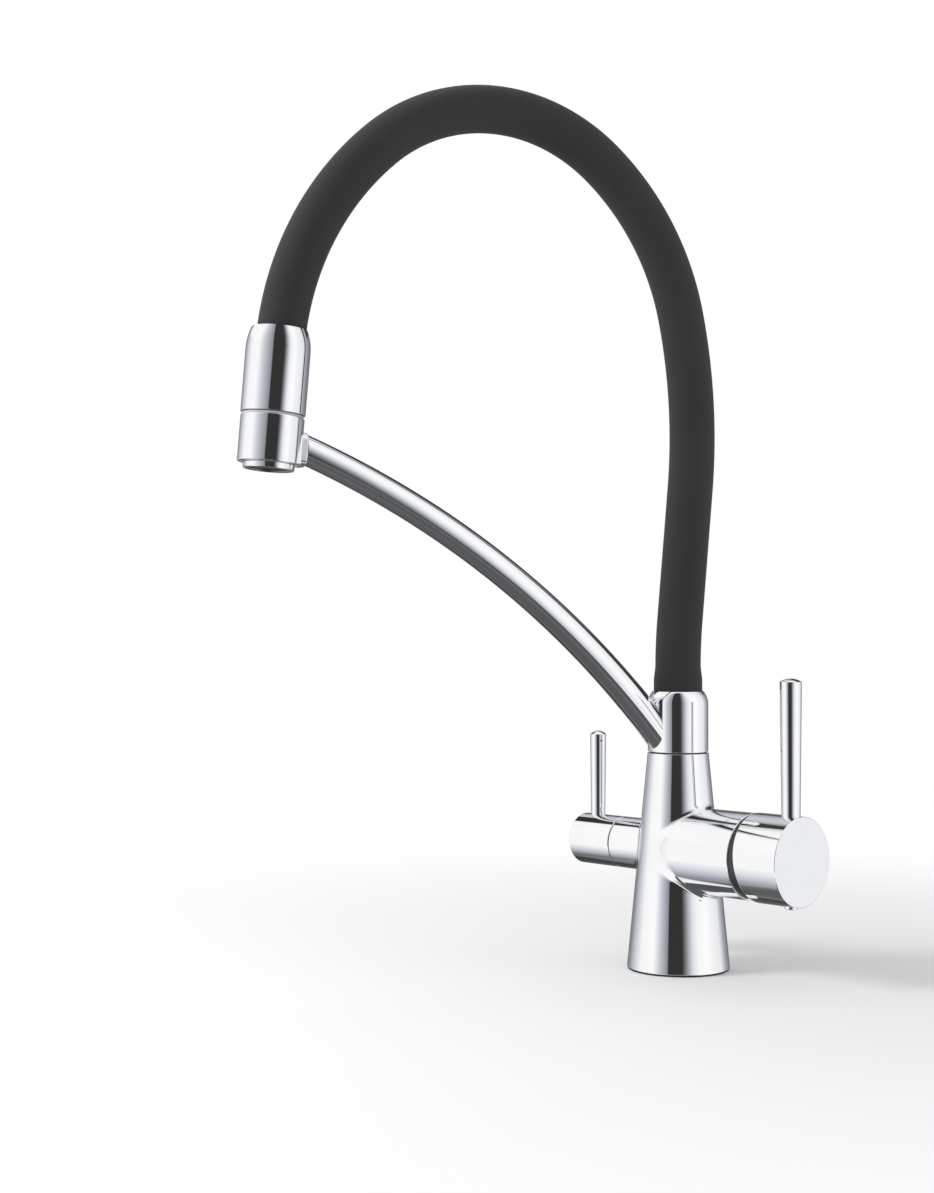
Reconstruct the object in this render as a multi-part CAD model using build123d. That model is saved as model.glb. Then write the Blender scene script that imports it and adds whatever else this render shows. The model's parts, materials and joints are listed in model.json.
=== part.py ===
from build123d import *
import math
import os

os.makedirs("parts", exist_ok=True)

# Three way kitchen tap: hot, cold and filtered water.
# Millimetres. The origin is the centre of the base on the worktop's top surface.
# +Z is up, +X is the mixer branch, -X the filter branch, -Y the side the user stands on.

# ---------------------------------------------------------------------------
# Driving dimensions
# ---------------------------------------------------------------------------

# fits
running_clearance = 0.05        # radial, shafts and stems in their bores
free_gap = 0.3                  # between faces that pass each other without touching
disc_film = 0.05                # between two ceramic discs

# column
base_radius = 26.0
column_top_radius = 15.45
column_height = 109.4
branch_axis_height = 60.8
branch_fillet = 3.0
edge_round = 0.4                # broken edge on every chromed piece
gasket_thickness = 0.8
gasket_inner_radius = 22.0
gasket_recess_from_rim = 0.5

# mixer branch and its bore
mixer_branch_radius = 21.4
mixer_branch_end = 48.5
mixer_root_radius = 19.0
mixer_root_length = 16.0
cartridge_floor = 14.0
cartridge_radius = 17.5
cartridge_bore_clearance = 0.1
cartridge_nut_radius = 18.95
cartridge_nut_recess = 8.5         # from the branch's end to the seat of the nut

# mixer cartridge, lengths along the branch
cartridge_base_thickness = 4.0
fixed_disc_thickness = 4.0
fixed_disc_radius = 14.8
moving_disc_thickness = 3.95
moving_disc_radius = 12.4
coupler_thickness = 6.5
coupler_flat_half_width = 9.1
cartridge_chamber_radius = 15.0
hub_radius = 13.4
hub_flange_thickness = 3.0
hub_flange_radius = 14.6
hub_stand_out = 1.9             # beyond the branch's end
hub_slot_half_width = 4.3
hub_slot_half_length = 8.0
hub_leg_length = 6.0
housing_neck_radius = 15.5
housing_set_back = 0.5          # inside the branch's end
cartridge_nut_thickness = 7.0
inlet_port_radius = 2.4
inlet_port_rise = 5.0
inlet_port_spread = 6.0
outlet_port_radius = 2.5
port_seal_width = 1.2
port_seal_thickness = 1.0
mixing_pocket_radius = 5.1
mixing_pocket_depth = 2.0
disc_rest_drop = 2.2

# mixer stem and tilt pivot
tilt_pivot_depth = 2.5          # inside the branch's end
tilt_pin_radius = 1.5
tilt_pin_half_length = 9.0
stem_half_width = 4.0
stem_square_below_pivot = 6.0
stem_cover = 3.4                # knob left over the stem's end
stem_arm_radius = 1.9
stem_ball_radius = 2.8
stem_ball_sink = 2.5            # ball's centre below the coupler's top

# hood over the cartridge
hood_radius = 20.7
hood_wall = 1.2
hood_opening_radius = 12.0
hood_flange_thickness = 1.0
hood_skirt_thickness = 0.8
hood_skirt_depth = 1.3

# mixer knob, lever and screw
mixer_knob_radius = 21.8
mixer_knob_stand_out = 28.9     # knob's face from the branch's end
mixer_gap_top = 3.3
mixer_gap_bottom = 6.6
knob_cavity_clearance = 0.6
stem_socket_clearance = 0.05
mixer_lever_from_face = 6.7
mixer_lever_top = 148.7
mixer_lever_top_radius = 5.3
mixer_lever_foot_radius = 4.55
mixer_lever_dome = 2.6
lever_root_radius = 2.5
mixer_lever_root_depth = 8.0
mixer_screw_radius = 2.5
screw_cap_radius = 3.1
screw_cap_depth = 2.0
screw_cap_stand_out = 1.3
screw_cap_to_screw = 3.0

# filter branch, valve, knob and lever, lengths along the branch
filter_branch_radius = 13.2
filter_branch_end = 36.0
filter_floor = 14.0
filter_bore_radius = 9.3
filter_valve_clearance = 0.1
filter_valve_low_radius = 7.6
filter_valve_inner_radius = 6.6
filter_gland_recess = 9.0           # from the branch's end
filter_shoulder_thickness = 3.0
filter_valve_neck_radius = 6.5
filter_valve_neck_stand_out = 1.0
filter_gland_radius = 10.95
filter_seal_thickness = 0.6
filter_seal_inner_radius = 5.6
filter_disc_radius = 6.4
filter_fixed_disc_thickness = 3.0
filter_moving_disc_thickness = 2.95
filter_disc_port_radius = 2.0
filter_disc_port_offset = 3.2
filter_inlet_port_radius = 2.0
filter_outlet_port_radius = 1.3
filter_outlet_port_rise = 7.9
filter_window_radius = 1.8
spindle_radius = 4.0
spindle_flange_thickness = 5.0
spindle_socket_depth = 8.5
spindle_seal_depth = 4.0        # inside the branch's end
spindle_seal_groove_radius = 3.1
spindle_seal_groove_width = 1.6
filter_knob_gap = 0.5
filter_knob_length = 27.4
filter_knob_wall = 1.6
filter_knob_cavity_depth = 9.0
filter_lever_from_face = 8.7
filter_lever_top = 118.1
filter_lever_top_radius = 4.22
filter_lever_foot_radius = 3.75
filter_lever_dome = 2.2
filter_lever_root_depth = 5.0
filter_screw_radius = 2.0
filter_screw_from_face = 13.4

# inlets and the passages in the casting
inlet_ring_radius = 9.3
inlet_thread_radius = 4.5
inlet_thread_length = 12.0
check_valve_radius = 4.2
check_valve_length = 10.0
check_valve_bore_radius = 2.2
passage_radius = 3.0
mixed_riser_offset = 6.4
filtered_riser_radius = 2.6

# threaded shank and the clamp under the worktop
shank_radius = 16.5
shank_wall = 1.7
shank_seat_depth = 9.0
shank_bottom = -50.0
worktop_thickness = 30.0
clamp_outer_radius = 27.0
clamp_hole_clearance = 0.4
rubber_washer_thickness = 3.0
steel_washer_thickness = 2.5
shank_nut_thickness = 9.0
shank_nut_flats = 41.0

# swivel between column and spout collar
spigot_radius = 10.8
spigot_length = 17.6
seal_section_radius = 0.48
seal_groove_depth = 1.0
seal_groove_width = 1.1
lower_seal_up = 6.5             # above the column's top
upper_seal_up = 15.1
screw_groove_width = 4.6
swivel_bush_flange_thickness = 0.5
swivel_bush_flange_radius = 14.9
swivel_bush_length = 4.5
collar_lift = 0.1
distributor_above_bush = 0.4
distributor_chamber_depth = 2.0     # over the spigot's end
distributor_plate_thickness = 4.0
plunge_tube_length = 11.0
filtered_barb_bore_radius = 1.0
mixed_barb_wall = 0.6
mixed_port_count = 8
mixed_port_radius = 0.95
mixed_port_ring_radius = 3.6
swivel_screw_radius = 2.0

# spout collar
collar_radius = 15.3
collar_bore_radius = 13.3
collar_length = 30.6
collar_shoulder_drop = 6.6
collar_rim_radius = 12.95
anchor_flange_thickness = 1.4
anchor_flange_radius = 13.2
collar_lip_clearance = 0.2

# hose: black sleeve, mixed water hose, filtered water tube, all on one centreline
sleeve_radius = 11.5
sleeve_wall = 1.9
sleeve_cuff_radius = 12.3
sleeve_above_lip = 0.9
sleeve_cuff_length = 12.2
sleeve_taper_length = 4.5
anchor_neck_length = 14.7
anchor_neck_radius = 10.35
anchor_neck_wall = 1.05
mixed_hose_radius = 7.0
mixed_hose_wall = 1.8
filtered_tube_radius = 2.6
filtered_tube_wall = 1.0
barb_length = 12.0
crimp_wall = 0.6
crimp_length = 10.0

# hose bends: radii, and turns in degrees
lean_radius = 270.0
lean_turn = 5.2
shoulder_radius = 290.0
shoulder_turn = 17.5
rise_turn = 38.7
crown_radius = 91.8
crown_turn = 80.0
fall_radius = 148.0

# spray head, depths measured down its axis from its top
head_reach = 212.2
head_top_height = 311.9
head_tilt = 4.8
hose_lean_in_head = 2.2
head_rim_radius = 13.1
head_shell_radius = 15.1
head_shell_wall = 1.5
head_mouth_radius = 12.7
head_shoulder_depth = 10.0
head_shell_length = 39.6
hose_ball_depth = 24.0
hose_ball_radius = 10.0
hose_straight_in_head = 22.0
sleeve_end_from_ball = 9.0
filtered_tube_end_past_ball = 8.0
fitting_neck_radius = 7.6
fitting_bore_radius = 4.4
fitting_anchor_radius = 9.3
fitting_anchor_length = 9.5
fitting_flange_radius = 11.2
fitting_flange_thickness = 1.6
fitting_flange_from_ball = 7.0
ball_retainer_height = 5.0
head_core_bottom = 38.0
core_port_count = 8
core_port_radius = 0.9
core_port_ring_radius = 3.4
nose_radius = 12.0
nose_wall = 1.3
nose_flange_thickness = 1.6
nose_stand_out = 2.9
aerator_wall = 1.4
aerator_length = 10.0
aerator_set_back = 0.8
aerator_screen_thickness = 1.5
aerator_hole_radius = 0.55
aerator_hole_rings = (4.5, 6.1, 7.7)
aerator_hole_pitch = 1.6
filtered_outlet_radius = 2.3
filtered_outlet_wall = 0.9

# dock ring that holds the spray head
dock_gap = 1.2
dock_height = 22.0
dock_radius = 14.85
dock_bore_radius = 13.4
dock_boss_width = 13.8
dock_boss_stand_out = 3.0
dock_boss_drop = 6.0
dock_boss_round = 4.0
liner_flange_radius = 14.2
liner_flange_thickness = 0.9
liner_bore_clearance = 0.35
dock_screw_radius = 2.0
dock_screw_head_radius = 3.8
dock_screw_head_height = 1.8
dock_screw_length = 12.0

# holder arm between collar and dock
arm_root_up = 13.9              # above the collar's lower edge
arm_end_below_dock_top = 13.3
arm_bend_radius = 474.2
arm_root_radius = 7.8
arm_end_radius = 6.9
arm_wall = 1.3
arm_plug_length = 11.0

# rest pose: the spout stands this far from +X, seen from above
spout_angle = -109.63

# ---------------------------------------------------------------------------
# Places that follow from the dimensions
# ---------------------------------------------------------------------------

# along the mixer branch, from the column's axis outwards
cartridge_base_top = cartridge_floor + cartridge_base_thickness
fixed_disc_top = cartridge_base_top + fixed_disc_thickness
moving_disc_bottom = fixed_disc_top + disc_film
moving_disc_top = moving_disc_bottom + moving_disc_thickness
coupler_top = moving_disc_top + coupler_thickness
stem_ball_place = coupler_top - stem_ball_sink
hub_bottom = coupler_top + free_gap
hub_flange_top = hub_bottom + hub_flange_thickness
housing_inner_shoulder = hub_flange_top + free_gap
cartridge_nut_start = mixer_branch_end - cartridge_nut_recess
cartridge_nut_top = cartridge_nut_start + cartridge_nut_thickness
housing_top = mixer_branch_end - housing_set_back
hub_top = mixer_branch_end + hub_stand_out
tilt_pivot = mixer_branch_end - tilt_pivot_depth
stem_square_start = tilt_pivot - stem_square_below_pivot
mixer_knob_end = mixer_branch_end + mixer_knob_stand_out
stem_end = mixer_knob_end - stem_cover
mixer_lever_place = mixer_knob_end - mixer_lever_from_face

# along the filter branch
filter_seal_top = filter_floor + filter_seal_thickness
filter_fixed_disc_top = filter_seal_top + filter_fixed_disc_thickness
filter_moving_disc_bottom = filter_fixed_disc_top + disc_film
filter_moving_disc_top = filter_moving_disc_bottom + filter_moving_disc_thickness
spindle_flange_top = filter_moving_disc_top + spindle_flange_thickness
filter_valve_shoulder_low = filter_branch_end - filter_gland_recess
filter_valve_shoulder_top = filter_valve_shoulder_low + filter_shoulder_thickness
filter_valve_neck_top = filter_branch_end + filter_valve_neck_stand_out
spindle_seal_place = filter_branch_end - spindle_seal_depth
filter_knob_start = filter_branch_end + filter_knob_gap
filter_knob_end = filter_knob_start + filter_knob_length
filter_cavity_top = filter_knob_start + filter_knob_cavity_depth
spindle_end = filter_cavity_top + spindle_socket_depth
filter_lever_place = filter_knob_end - filter_lever_from_face
filter_screw_place = filter_knob_end - filter_screw_from_face

# up the swivel and the collar
spigot_top = column_height + spigot_length
seal_heights = (column_height + lower_seal_up, column_height + upper_seal_up)
screw_groove_height = sum(seal_heights) / 2
swivel_bush_flange_top = column_height + swivel_bush_flange_thickness
swivel_bush_top = column_height + swivel_bush_length
distributor_bottom = swivel_bush_top + distributor_above_bush
distributor_chamber_top = spigot_top + distributor_chamber_depth
distributor_top = distributor_chamber_top + distributor_plate_thickness
plunge_tube_bottom = distributor_chamber_top - plunge_tube_length
collar_bottom = swivel_bush_flange_top + collar_lift
collar_top = collar_bottom + collar_length
collar_shoulder_height = collar_top - collar_shoulder_drop
collar_lip_bottom = distributor_top + anchor_flange_thickness
arm_root_height = collar_bottom + arm_root_up

# up the hose's foot
sleeve_bottom = collar_lip_bottom + sleeve_above_lip
sleeve_cuff_top = sleeve_bottom + sleeve_cuff_length
hose_straight_top = sleeve_cuff_top + sleeve_taper_length
anchor_neck_top = sleeve_bottom + anchor_neck_length

# down the spray head, from its top
dock_top = head_shell_length + dock_gap
dock_bottom = dock_top + dock_height
nose_bottom = dock_bottom + nose_stand_out
head_cavity_radius = head_shell_radius - head_shell_wall
boss_face = dock_radius + dock_boss_stand_out
arm_end_depth = dock_top + arm_end_below_dock_top

# ---------------------------------------------------------------------------
# Places
# ---------------------------------------------------------------------------

# Along a branch, local Z is the distance from the column's axis.
# Mixer side: local +X is down. Filter side: local +X is up.
mixer_place = Pos(0, 0, branch_axis_height) * Rot(0, 90, 0)
filter_place = Pos(0, 0, branch_axis_height) * Rot(0, -90, 0)
# Spout pieces are drawn reaching along +X, then swung to the rest pose.
spout_place = Rot(0, 0, spout_angle)
# Head and dock: local Z is the depth below the head's top, local +X faces the column.
head_place = Pos(head_reach, 0, head_top_height) * Rot(0, 180 - head_tilt, 0)

bottom_aligned = (Align.CENTER, Align.CENTER, Align.MIN)


# ---------------------------------------------------------------------------
# Shape helpers
# ---------------------------------------------------------------------------

def outline(corners):
    """Closed flat outline from (radius, height) or (radius, height, rounding) corners."""
    points = [Vector(corner[0], 0, corner[1]) for corner in corners]
    arcs = []
    for number, corner in enumerate(corners):
        here = points[number]
        if len(corner) == 2:
            arcs.append((here, None, here))
            continue
        rounding = corner[2]
        to_before = (points[number - 1] - here).normalized()
        to_after = (points[(number + 1) % len(points)] - here).normalized()
        half_angle = math.radians(to_before.get_angle(to_after)) / 2
        reach = rounding / math.tan(half_angle)
        inset = rounding / math.sin(half_angle) - rounding
        middle = here + (to_before + to_after).normalized() * inset
        arcs.append((here + to_before * reach, middle, here + to_after * reach))
    edges = []
    for number, (start, middle, end) in enumerate(arcs):
        if middle is not None:
            edges.append(ThreePointArc(start, middle, end))
        following = arcs[(number + 1) % len(arcs)][0]
        if (following - end).length > 1e-6:
            edges.append(Line(end, following))
    return make_face(edges)


def turned(*corners):
    """Solid turned about Z from an outline of (radius, height[, rounding]) corners."""
    return revolve(outline(corners), Axis.Z)


def disc(radius, low, high):
    """Solid cylinder about Z."""
    return Pos(0, 0, low) * Cylinder(radius, high - low, align=bottom_aligned)


def ring(outer, inner, low, high, rounding=0):
    """Plain ring about Z, with its two outer edges rounded where asked."""
    if rounding:
        return turned((inner, low), (outer, low, rounding), (outer, high, rounding), (inner, high))
    return turned((inner, low), (outer, low), (outer, high), (inner, high))


def drilled_at(radius, x, y, low, high):
    """Solid cylinder parallel to Z through (x, y)."""
    return Pos(x, y, 0) * disc(radius, low, high)


def seal_ring(centre_radius, section_radius, height):
    """O-ring about Z."""
    return Pos(0, 0, height) * Torus(centre_radius, section_radius)


def turned_shoulder(inner, low, outer, shoulder, rim, top):
    """Turned tube whose outside curves in from shoulder to rim on one arc."""
    drop = top - shoulder
    step = outer - rim
    bend = (drop ** 2 + step ** 2) / (2 * step)
    half_turn = math.asin(drop / bend) / 2
    middle = (outer - bend + bend * math.cos(half_turn), shoulder + bend * math.sin(half_turn))
    points = [Vector(r, 0, z) for r, z in ((inner, low), (outer, low), (outer, shoulder))]
    rim_point = Vector(rim, 0, top)
    inner_top = Vector(inner, 0, top)
    face = make_face([
        Line(points[0], points[1]),
        Line(points[1], points[2]),
        ThreePointArc(points[2], Vector(middle[0], 0, middle[1]), rim_point),
        Line(rim_point, inner_top),
        Line(inner_top, points[0]),
    ])
    return revolve(face, Axis.Z)


def lever(foot_height, top_height, foot_radius, top_radius, dome, root_radius, root_depth, seat_radius):
    """Upright lever standing on a knob of seat_radius; heights are from the knob's axis."""
    reach = top_height - dome
    bend = (top_radius ** 2 + dome ** 2) / (2 * dome)
    half_turn = math.asin(top_radius / bend) / 2
    crown = Vector(bend * math.sin(half_turn), 0, top_height - bend + bend * math.cos(half_turn))
    foot = foot_height - top_radius ** 2 / seat_radius
    face = make_face([
        Line((0, 0, foot), (foot_radius, 0, foot)),
        Line((foot_radius, 0, foot), (top_radius, 0, reach)),
        ThreePointArc((top_radius, 0, reach), crown, (0, 0, top_height)),
        Line((0, 0, top_height), (0, 0, foot)),
    ])
    rod = revolve(face, Axis.Z)
    seat = Rot(0, 90, 0) * Cylinder(seat_radius, 6 * top_radius)
    rod = rod - seat
    root = disc(root_radius, seat_radius - root_depth, seat_radius + dome)
    return rod + root


# ---------------------------------------------------------------------------
# Column casting
# ---------------------------------------------------------------------------

def inlet_spots():
    """(x, y) of the hot, cold and filtered inlets."""
    spots = []
    for angle in (60, -60, 180):
        turn = math.radians(angle)
        spots.append((inlet_ring_radius * math.cos(turn), inlet_ring_radius * math.sin(turn)))
    return spots


def mixer_branch():
    step = mixer_branch_radius - mixer_root_radius
    bend = (mixer_root_length ** 2 + step ** 2) / (2 * step)
    half_turn = math.asin(mixer_root_length / bend) / 2
    middle = Vector(
        mixer_branch_radius - bend + bend * math.cos(half_turn), 0,
        mixer_root_length - bend * math.sin(half_turn))
    root = Vector(mixer_root_radius, 0, 0)
    full = Vector(mixer_branch_radius, 0, mixer_root_length)
    end_corner = Vector(mixer_branch_radius, 0, mixer_branch_end)
    end_centre = Vector(0, 0, mixer_branch_end)
    face = make_face([
        Line((0, 0, 0), root),
        ThreePointArc(root, middle, full),
        Line(full, end_corner),
        Line(end_corner, end_centre),
        Line(end_centre, (0, 0, 0)),
    ])
    branch = revolve(face, Axis.Z)
    rim = branch.edges().filter_by(GeomType.CIRCLE).sort_by(Axis.Z)[-1]
    return mixer_place * fillet(rim, edge_round)


def casting_blank():
    """Outside of the column with both branches, the fillets between them and the spigot."""
    column = turned(
        (0, 0), (gasket_inner_radius, 0), (gasket_inner_radius, gasket_thickness),
        (base_radius, gasket_thickness, edge_round), (column_top_radius, column_height, edge_round),
        (0, column_height))
    branch = mixer_branch()
    blank = column + branch
    blank = fillet(new_edges(column, branch, combined=blank), branch_fillet)
    branch = filter_place * turned(
        (0, 0), (filter_branch_radius, 0),
        (filter_branch_radius, filter_branch_end, edge_round), (0, filter_branch_end))
    joined = blank + branch
    joined = fillet(new_edges(blank, branch, combined=joined), branch_fillet)
    spigot = turned(
        (0, column_height - gasket_thickness), (spigot_radius, column_height - gasket_thickness),
        (spigot_radius, spigot_top, edge_round), (0, spigot_top))
    return joined + spigot


def casting_cuts():
    """Everything bored out of the casting."""
    inlet_height = branch_axis_height + inlet_port_rise
    hot, cold, filtered = inlet_spots()
    cuts = []
    # cartridge bore, and the thread for its nut
    cuts.append(mixer_place * disc(
        cartridge_radius + cartridge_bore_clearance, cartridge_floor, mixer_branch_end + 1))
    cuts.append(mixer_place * disc(
        cartridge_nut_radius, cartridge_nut_start, mixer_branch_end + 1))
    # filter valve bore, and the thread for its gland
    cuts.append(filter_place * disc(filter_bore_radius, filter_floor, filter_branch_end + 1))
    cuts.append(filter_place * disc(
        filter_gland_radius, filter_valve_shoulder_low, filter_branch_end + 1))
    # socket of the threaded shank
    cuts.append(disc(shank_radius, -1, shank_seat_depth))
    # inlets, their check valve pockets and the risers
    thread_top = shank_seat_depth + inlet_thread_length
    pocket_top = thread_top + check_valve_length
    filter_port_height = branch_axis_height - filter_disc_port_offset
    riser_tops = (inlet_height, inlet_height, filter_port_height)
    for (x, y), riser_top in zip((hot, cold, filtered), riser_tops):
        cuts.append(drilled_at(inlet_thread_radius, x, y, shank_seat_depth - 1, thread_top))
        cuts.append(drilled_at(check_valve_radius, x, y, thread_top - 1, pocket_top))
        cuts.append(drilled_at(passage_radius, x, y, pocket_top - 1, riser_top + passage_radius))
    # ports from the risers to the two valve floors
    for side in (1, -1):
        cuts.append(mixer_place * drilled_at(
            inlet_port_radius, -inlet_port_rise, side * inlet_port_spread,
            hot[0], cartridge_floor + 1))
    cuts.append(mixer_place * drilled_at(
        outlet_port_radius, 0, 0, mixed_riser_offset, cartridge_floor + 1))
    cuts.append(filter_place * drilled_at(
        filter_inlet_port_radius, -filter_disc_port_offset, 0, -filtered[0], filter_floor + 1))
    cuts.append(filter_place * drilled_at(
        filter_outlet_port_radius, filter_outlet_port_rise, 0, 0, filter_floor + 1))
    # risers to the spout
    cuts.append(drilled_at(
        outlet_port_radius, mixed_riser_offset, 0,
        branch_axis_height - outlet_port_radius, spigot_top + 1))
    cuts.append(disc(
        filtered_riser_radius,
        branch_axis_height + filter_outlet_port_rise - filter_outlet_port_radius, spigot_top + 1))
    # grooves in the spigot
    for height in seal_heights:
        cuts.append(ring(
            spigot_radius + 1, spigot_radius - seal_groove_depth,
            height - seal_groove_width / 2, height + seal_groove_width / 2))
    cuts.append(ring(
        spigot_radius + 1, spigot_radius - seal_groove_depth,
        screw_groove_height - screw_groove_width / 2, screw_groove_height + screw_groove_width / 2))
    return cuts


def tap_body():
    body = casting_blank()
    for cut in casting_cuts():
        body = body - cut
    return body


def base_gasket():
    return ring(base_radius - gasket_recess_from_rim, gasket_inner_radius, 0, gasket_thickness)


def inlet_check_valves():
    low = shank_seat_depth + inlet_thread_length
    valve = ring(check_valve_radius, check_valve_bore_radius, low, low + check_valve_length)
    return [Pos(x, y, 0) * valve for x, y in inlet_spots()]


# ---------------------------------------------------------------------------
# Fixing under the worktop
# ---------------------------------------------------------------------------

def threaded_shank():
    return ring(shank_radius, shank_radius - shank_wall, shank_bottom, shank_seat_depth)


def clamp_washer(top, thickness):
    return ring(
        clamp_outer_radius, shank_radius + clamp_hole_clearance, top - thickness, top, edge_round)


def rubber_washer():
    return clamp_washer(-worktop_thickness, rubber_washer_thickness)


def steel_washer():
    return clamp_washer(-worktop_thickness - rubber_washer_thickness, steel_washer_thickness)


def shank_nut():
    top = -worktop_thickness - rubber_washer_thickness - steel_washer_thickness
    hexagon = RegularPolygon(shank_nut_flats / 2, 6, major_radius=False)
    nut = Pos(0, 0, top - shank_nut_thickness) * extrude(hexagon, shank_nut_thickness)
    return nut - disc(shank_radius, top - shank_nut_thickness - 1, top + 1)


# ---------------------------------------------------------------------------
# Mixer cartridge: pieces in the order water meets them
# ---------------------------------------------------------------------------


def mixer_ports(low, high, extra=0):
    """The two inlet ports and the outlet port, as solids to cut with."""
    ports = []
    for side in (1, -1):
        ports.append(drilled_at(
            inlet_port_radius + extra, -inlet_port_rise, side * inlet_port_spread, low, high))
    ports.append(disc(outlet_port_radius + extra, low, high))
    return ports


def cartridge_base():
    base = disc(cartridge_radius, cartridge_floor, cartridge_base_top)
    for port in mixer_ports(cartridge_floor - 1, cartridge_base_top + 1):
        base = base - port
    seal_top = cartridge_floor + port_seal_thickness
    for recess in mixer_ports(cartridge_floor - 1, seal_top, port_seal_width):
        base = base - recess
    return mixer_place * base


def cartridge_port_seals():
    seal_top = cartridge_floor + port_seal_thickness
    outers = mixer_ports(cartridge_floor, seal_top, port_seal_width)
    inners = mixer_ports(cartridge_floor - 1, seal_top + 1)
    return [mixer_place * (outer - inner) for outer, inner in zip(outers, inners)]


def fixed_disc():
    plate = disc(fixed_disc_radius, cartridge_base_top, fixed_disc_top)
    for port in mixer_ports(cartridge_base_top - 1, fixed_disc_top + 1):
        plate = plate - port
    return mixer_place * plate


def moving_disc():
    plate = drilled_at(moving_disc_radius, disc_rest_drop, 0, moving_disc_bottom, moving_disc_top)
    pocket = disc(
        mixing_pocket_radius, moving_disc_bottom - 1, moving_disc_bottom + mixing_pocket_depth)
    return mixer_place * (plate - pocket)


def disc_coupler():
    block = drilled_at(moving_disc_radius, disc_rest_drop, 0, moving_disc_top, coupler_top)
    flats = Pos(disc_rest_drop, 0, (moving_disc_top + coupler_top) / 2) * Box(
        2 * moving_disc_radius, 2 * coupler_flat_half_width, coupler_thickness)
    socket_floor = stem_ball_place - stem_ball_radius - free_gap
    socket = disc(stem_ball_radius + running_clearance, socket_floor, coupler_top + 1)
    return mixer_place * ((block & flats) - socket)


def stem_hub():
    hub = turned(
        (0, hub_bottom), (hub_flange_radius, hub_bottom), (hub_flange_radius, hub_flange_top),
        (hub_radius, hub_flange_top), (hub_radius, hub_top, edge_round), (0, hub_top))
    legs = disc(hub_flange_radius, hub_bottom - hub_leg_length, hub_bottom)
    leg_gap = Box(4 * hub_flange_radius, 2 * (coupler_flat_half_width + free_gap), 4 * hub_leg_length)
    legs = legs - Pos(0, 0, hub_bottom) * leg_gap
    slot = Pos(0, 0, hub_top) * Box(
        2 * hub_slot_half_length, 2 * hub_slot_half_width, 2 * (hub_top - hub_bottom) + 2)
    pin_hole = Pos(0, 0, tilt_pivot) * Rot(90, 0, 0) * Cylinder(tilt_pin_radius, 4 * hub_radius)
    return mixer_place * (hub + legs - slot - pin_hole)


def tilt_pin():
    pin = Cylinder(tilt_pin_radius, 2 * tilt_pin_half_length)
    return mixer_place * Pos(0, 0, tilt_pivot) * Rot(90, 0, 0) * pin


def mixer_stem():
    square = Pos(0, 0, stem_square_start) * Box(
        2 * stem_half_width, 2 * stem_half_width, stem_end - stem_square_start,
        align=bottom_aligned)
    arm = disc(stem_arm_radius, stem_ball_place, stem_square_start + 1)
    ball = Pos(0, 0, stem_ball_place) * Sphere(stem_ball_radius)
    hole = Pos(0, 0, tilt_pivot) * Rot(90, 0, 0) * Cylinder(
        tilt_pin_radius + running_clearance, 4 * stem_half_width)
    return mixer_place * (square + arm + ball - hole)


def cartridge_housing():
    bore = hub_radius + running_clearance
    return mixer_place * turned(
        (cartridge_chamber_radius, cartridge_base_top), (cartridge_radius, cartridge_base_top),
        (cartridge_radius, cartridge_nut_start), (housing_neck_radius, cartridge_nut_start),
        (housing_neck_radius, housing_top, edge_round), (bore, housing_top),
        (bore, housing_inner_shoulder), (cartridge_chamber_radius, housing_inner_shoulder))


def cartridge_nut():
    return mixer_place * ring(
        cartridge_nut_radius, housing_neck_radius + running_clearance,
        cartridge_nut_start, cartridge_nut_top)


def cartridge_hood():
    """Domed cover, centred on the tilt pivot so that the knob can rock over it."""
    base = mixer_branch_end
    dome = Pos(0, 0, tilt_pivot) * (Sphere(hood_radius) - Sphere(hood_radius - hood_wall))
    dome = dome & disc(2 * hood_radius, base, tilt_pivot + 2 * hood_radius)
    inner = cartridge_nut_radius - running_clearance - hood_skirt_thickness
    flange = ring(
        math.sqrt((hood_radius - hood_wall) ** 2 - (base - tilt_pivot) ** 2), inner,
        base, base + hood_flange_thickness)
    skirt = ring(
        cartridge_nut_radius - running_clearance, inner, base - hood_skirt_depth,
        base + hood_flange_thickness)
    hood = dome + flange + skirt
    return mixer_place * (hood - disc(hood_opening_radius, base, tilt_pivot + 2 * hood_radius))


# ---------------------------------------------------------------------------
# Mixer knob, lever and screw
# ---------------------------------------------------------------------------

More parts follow.
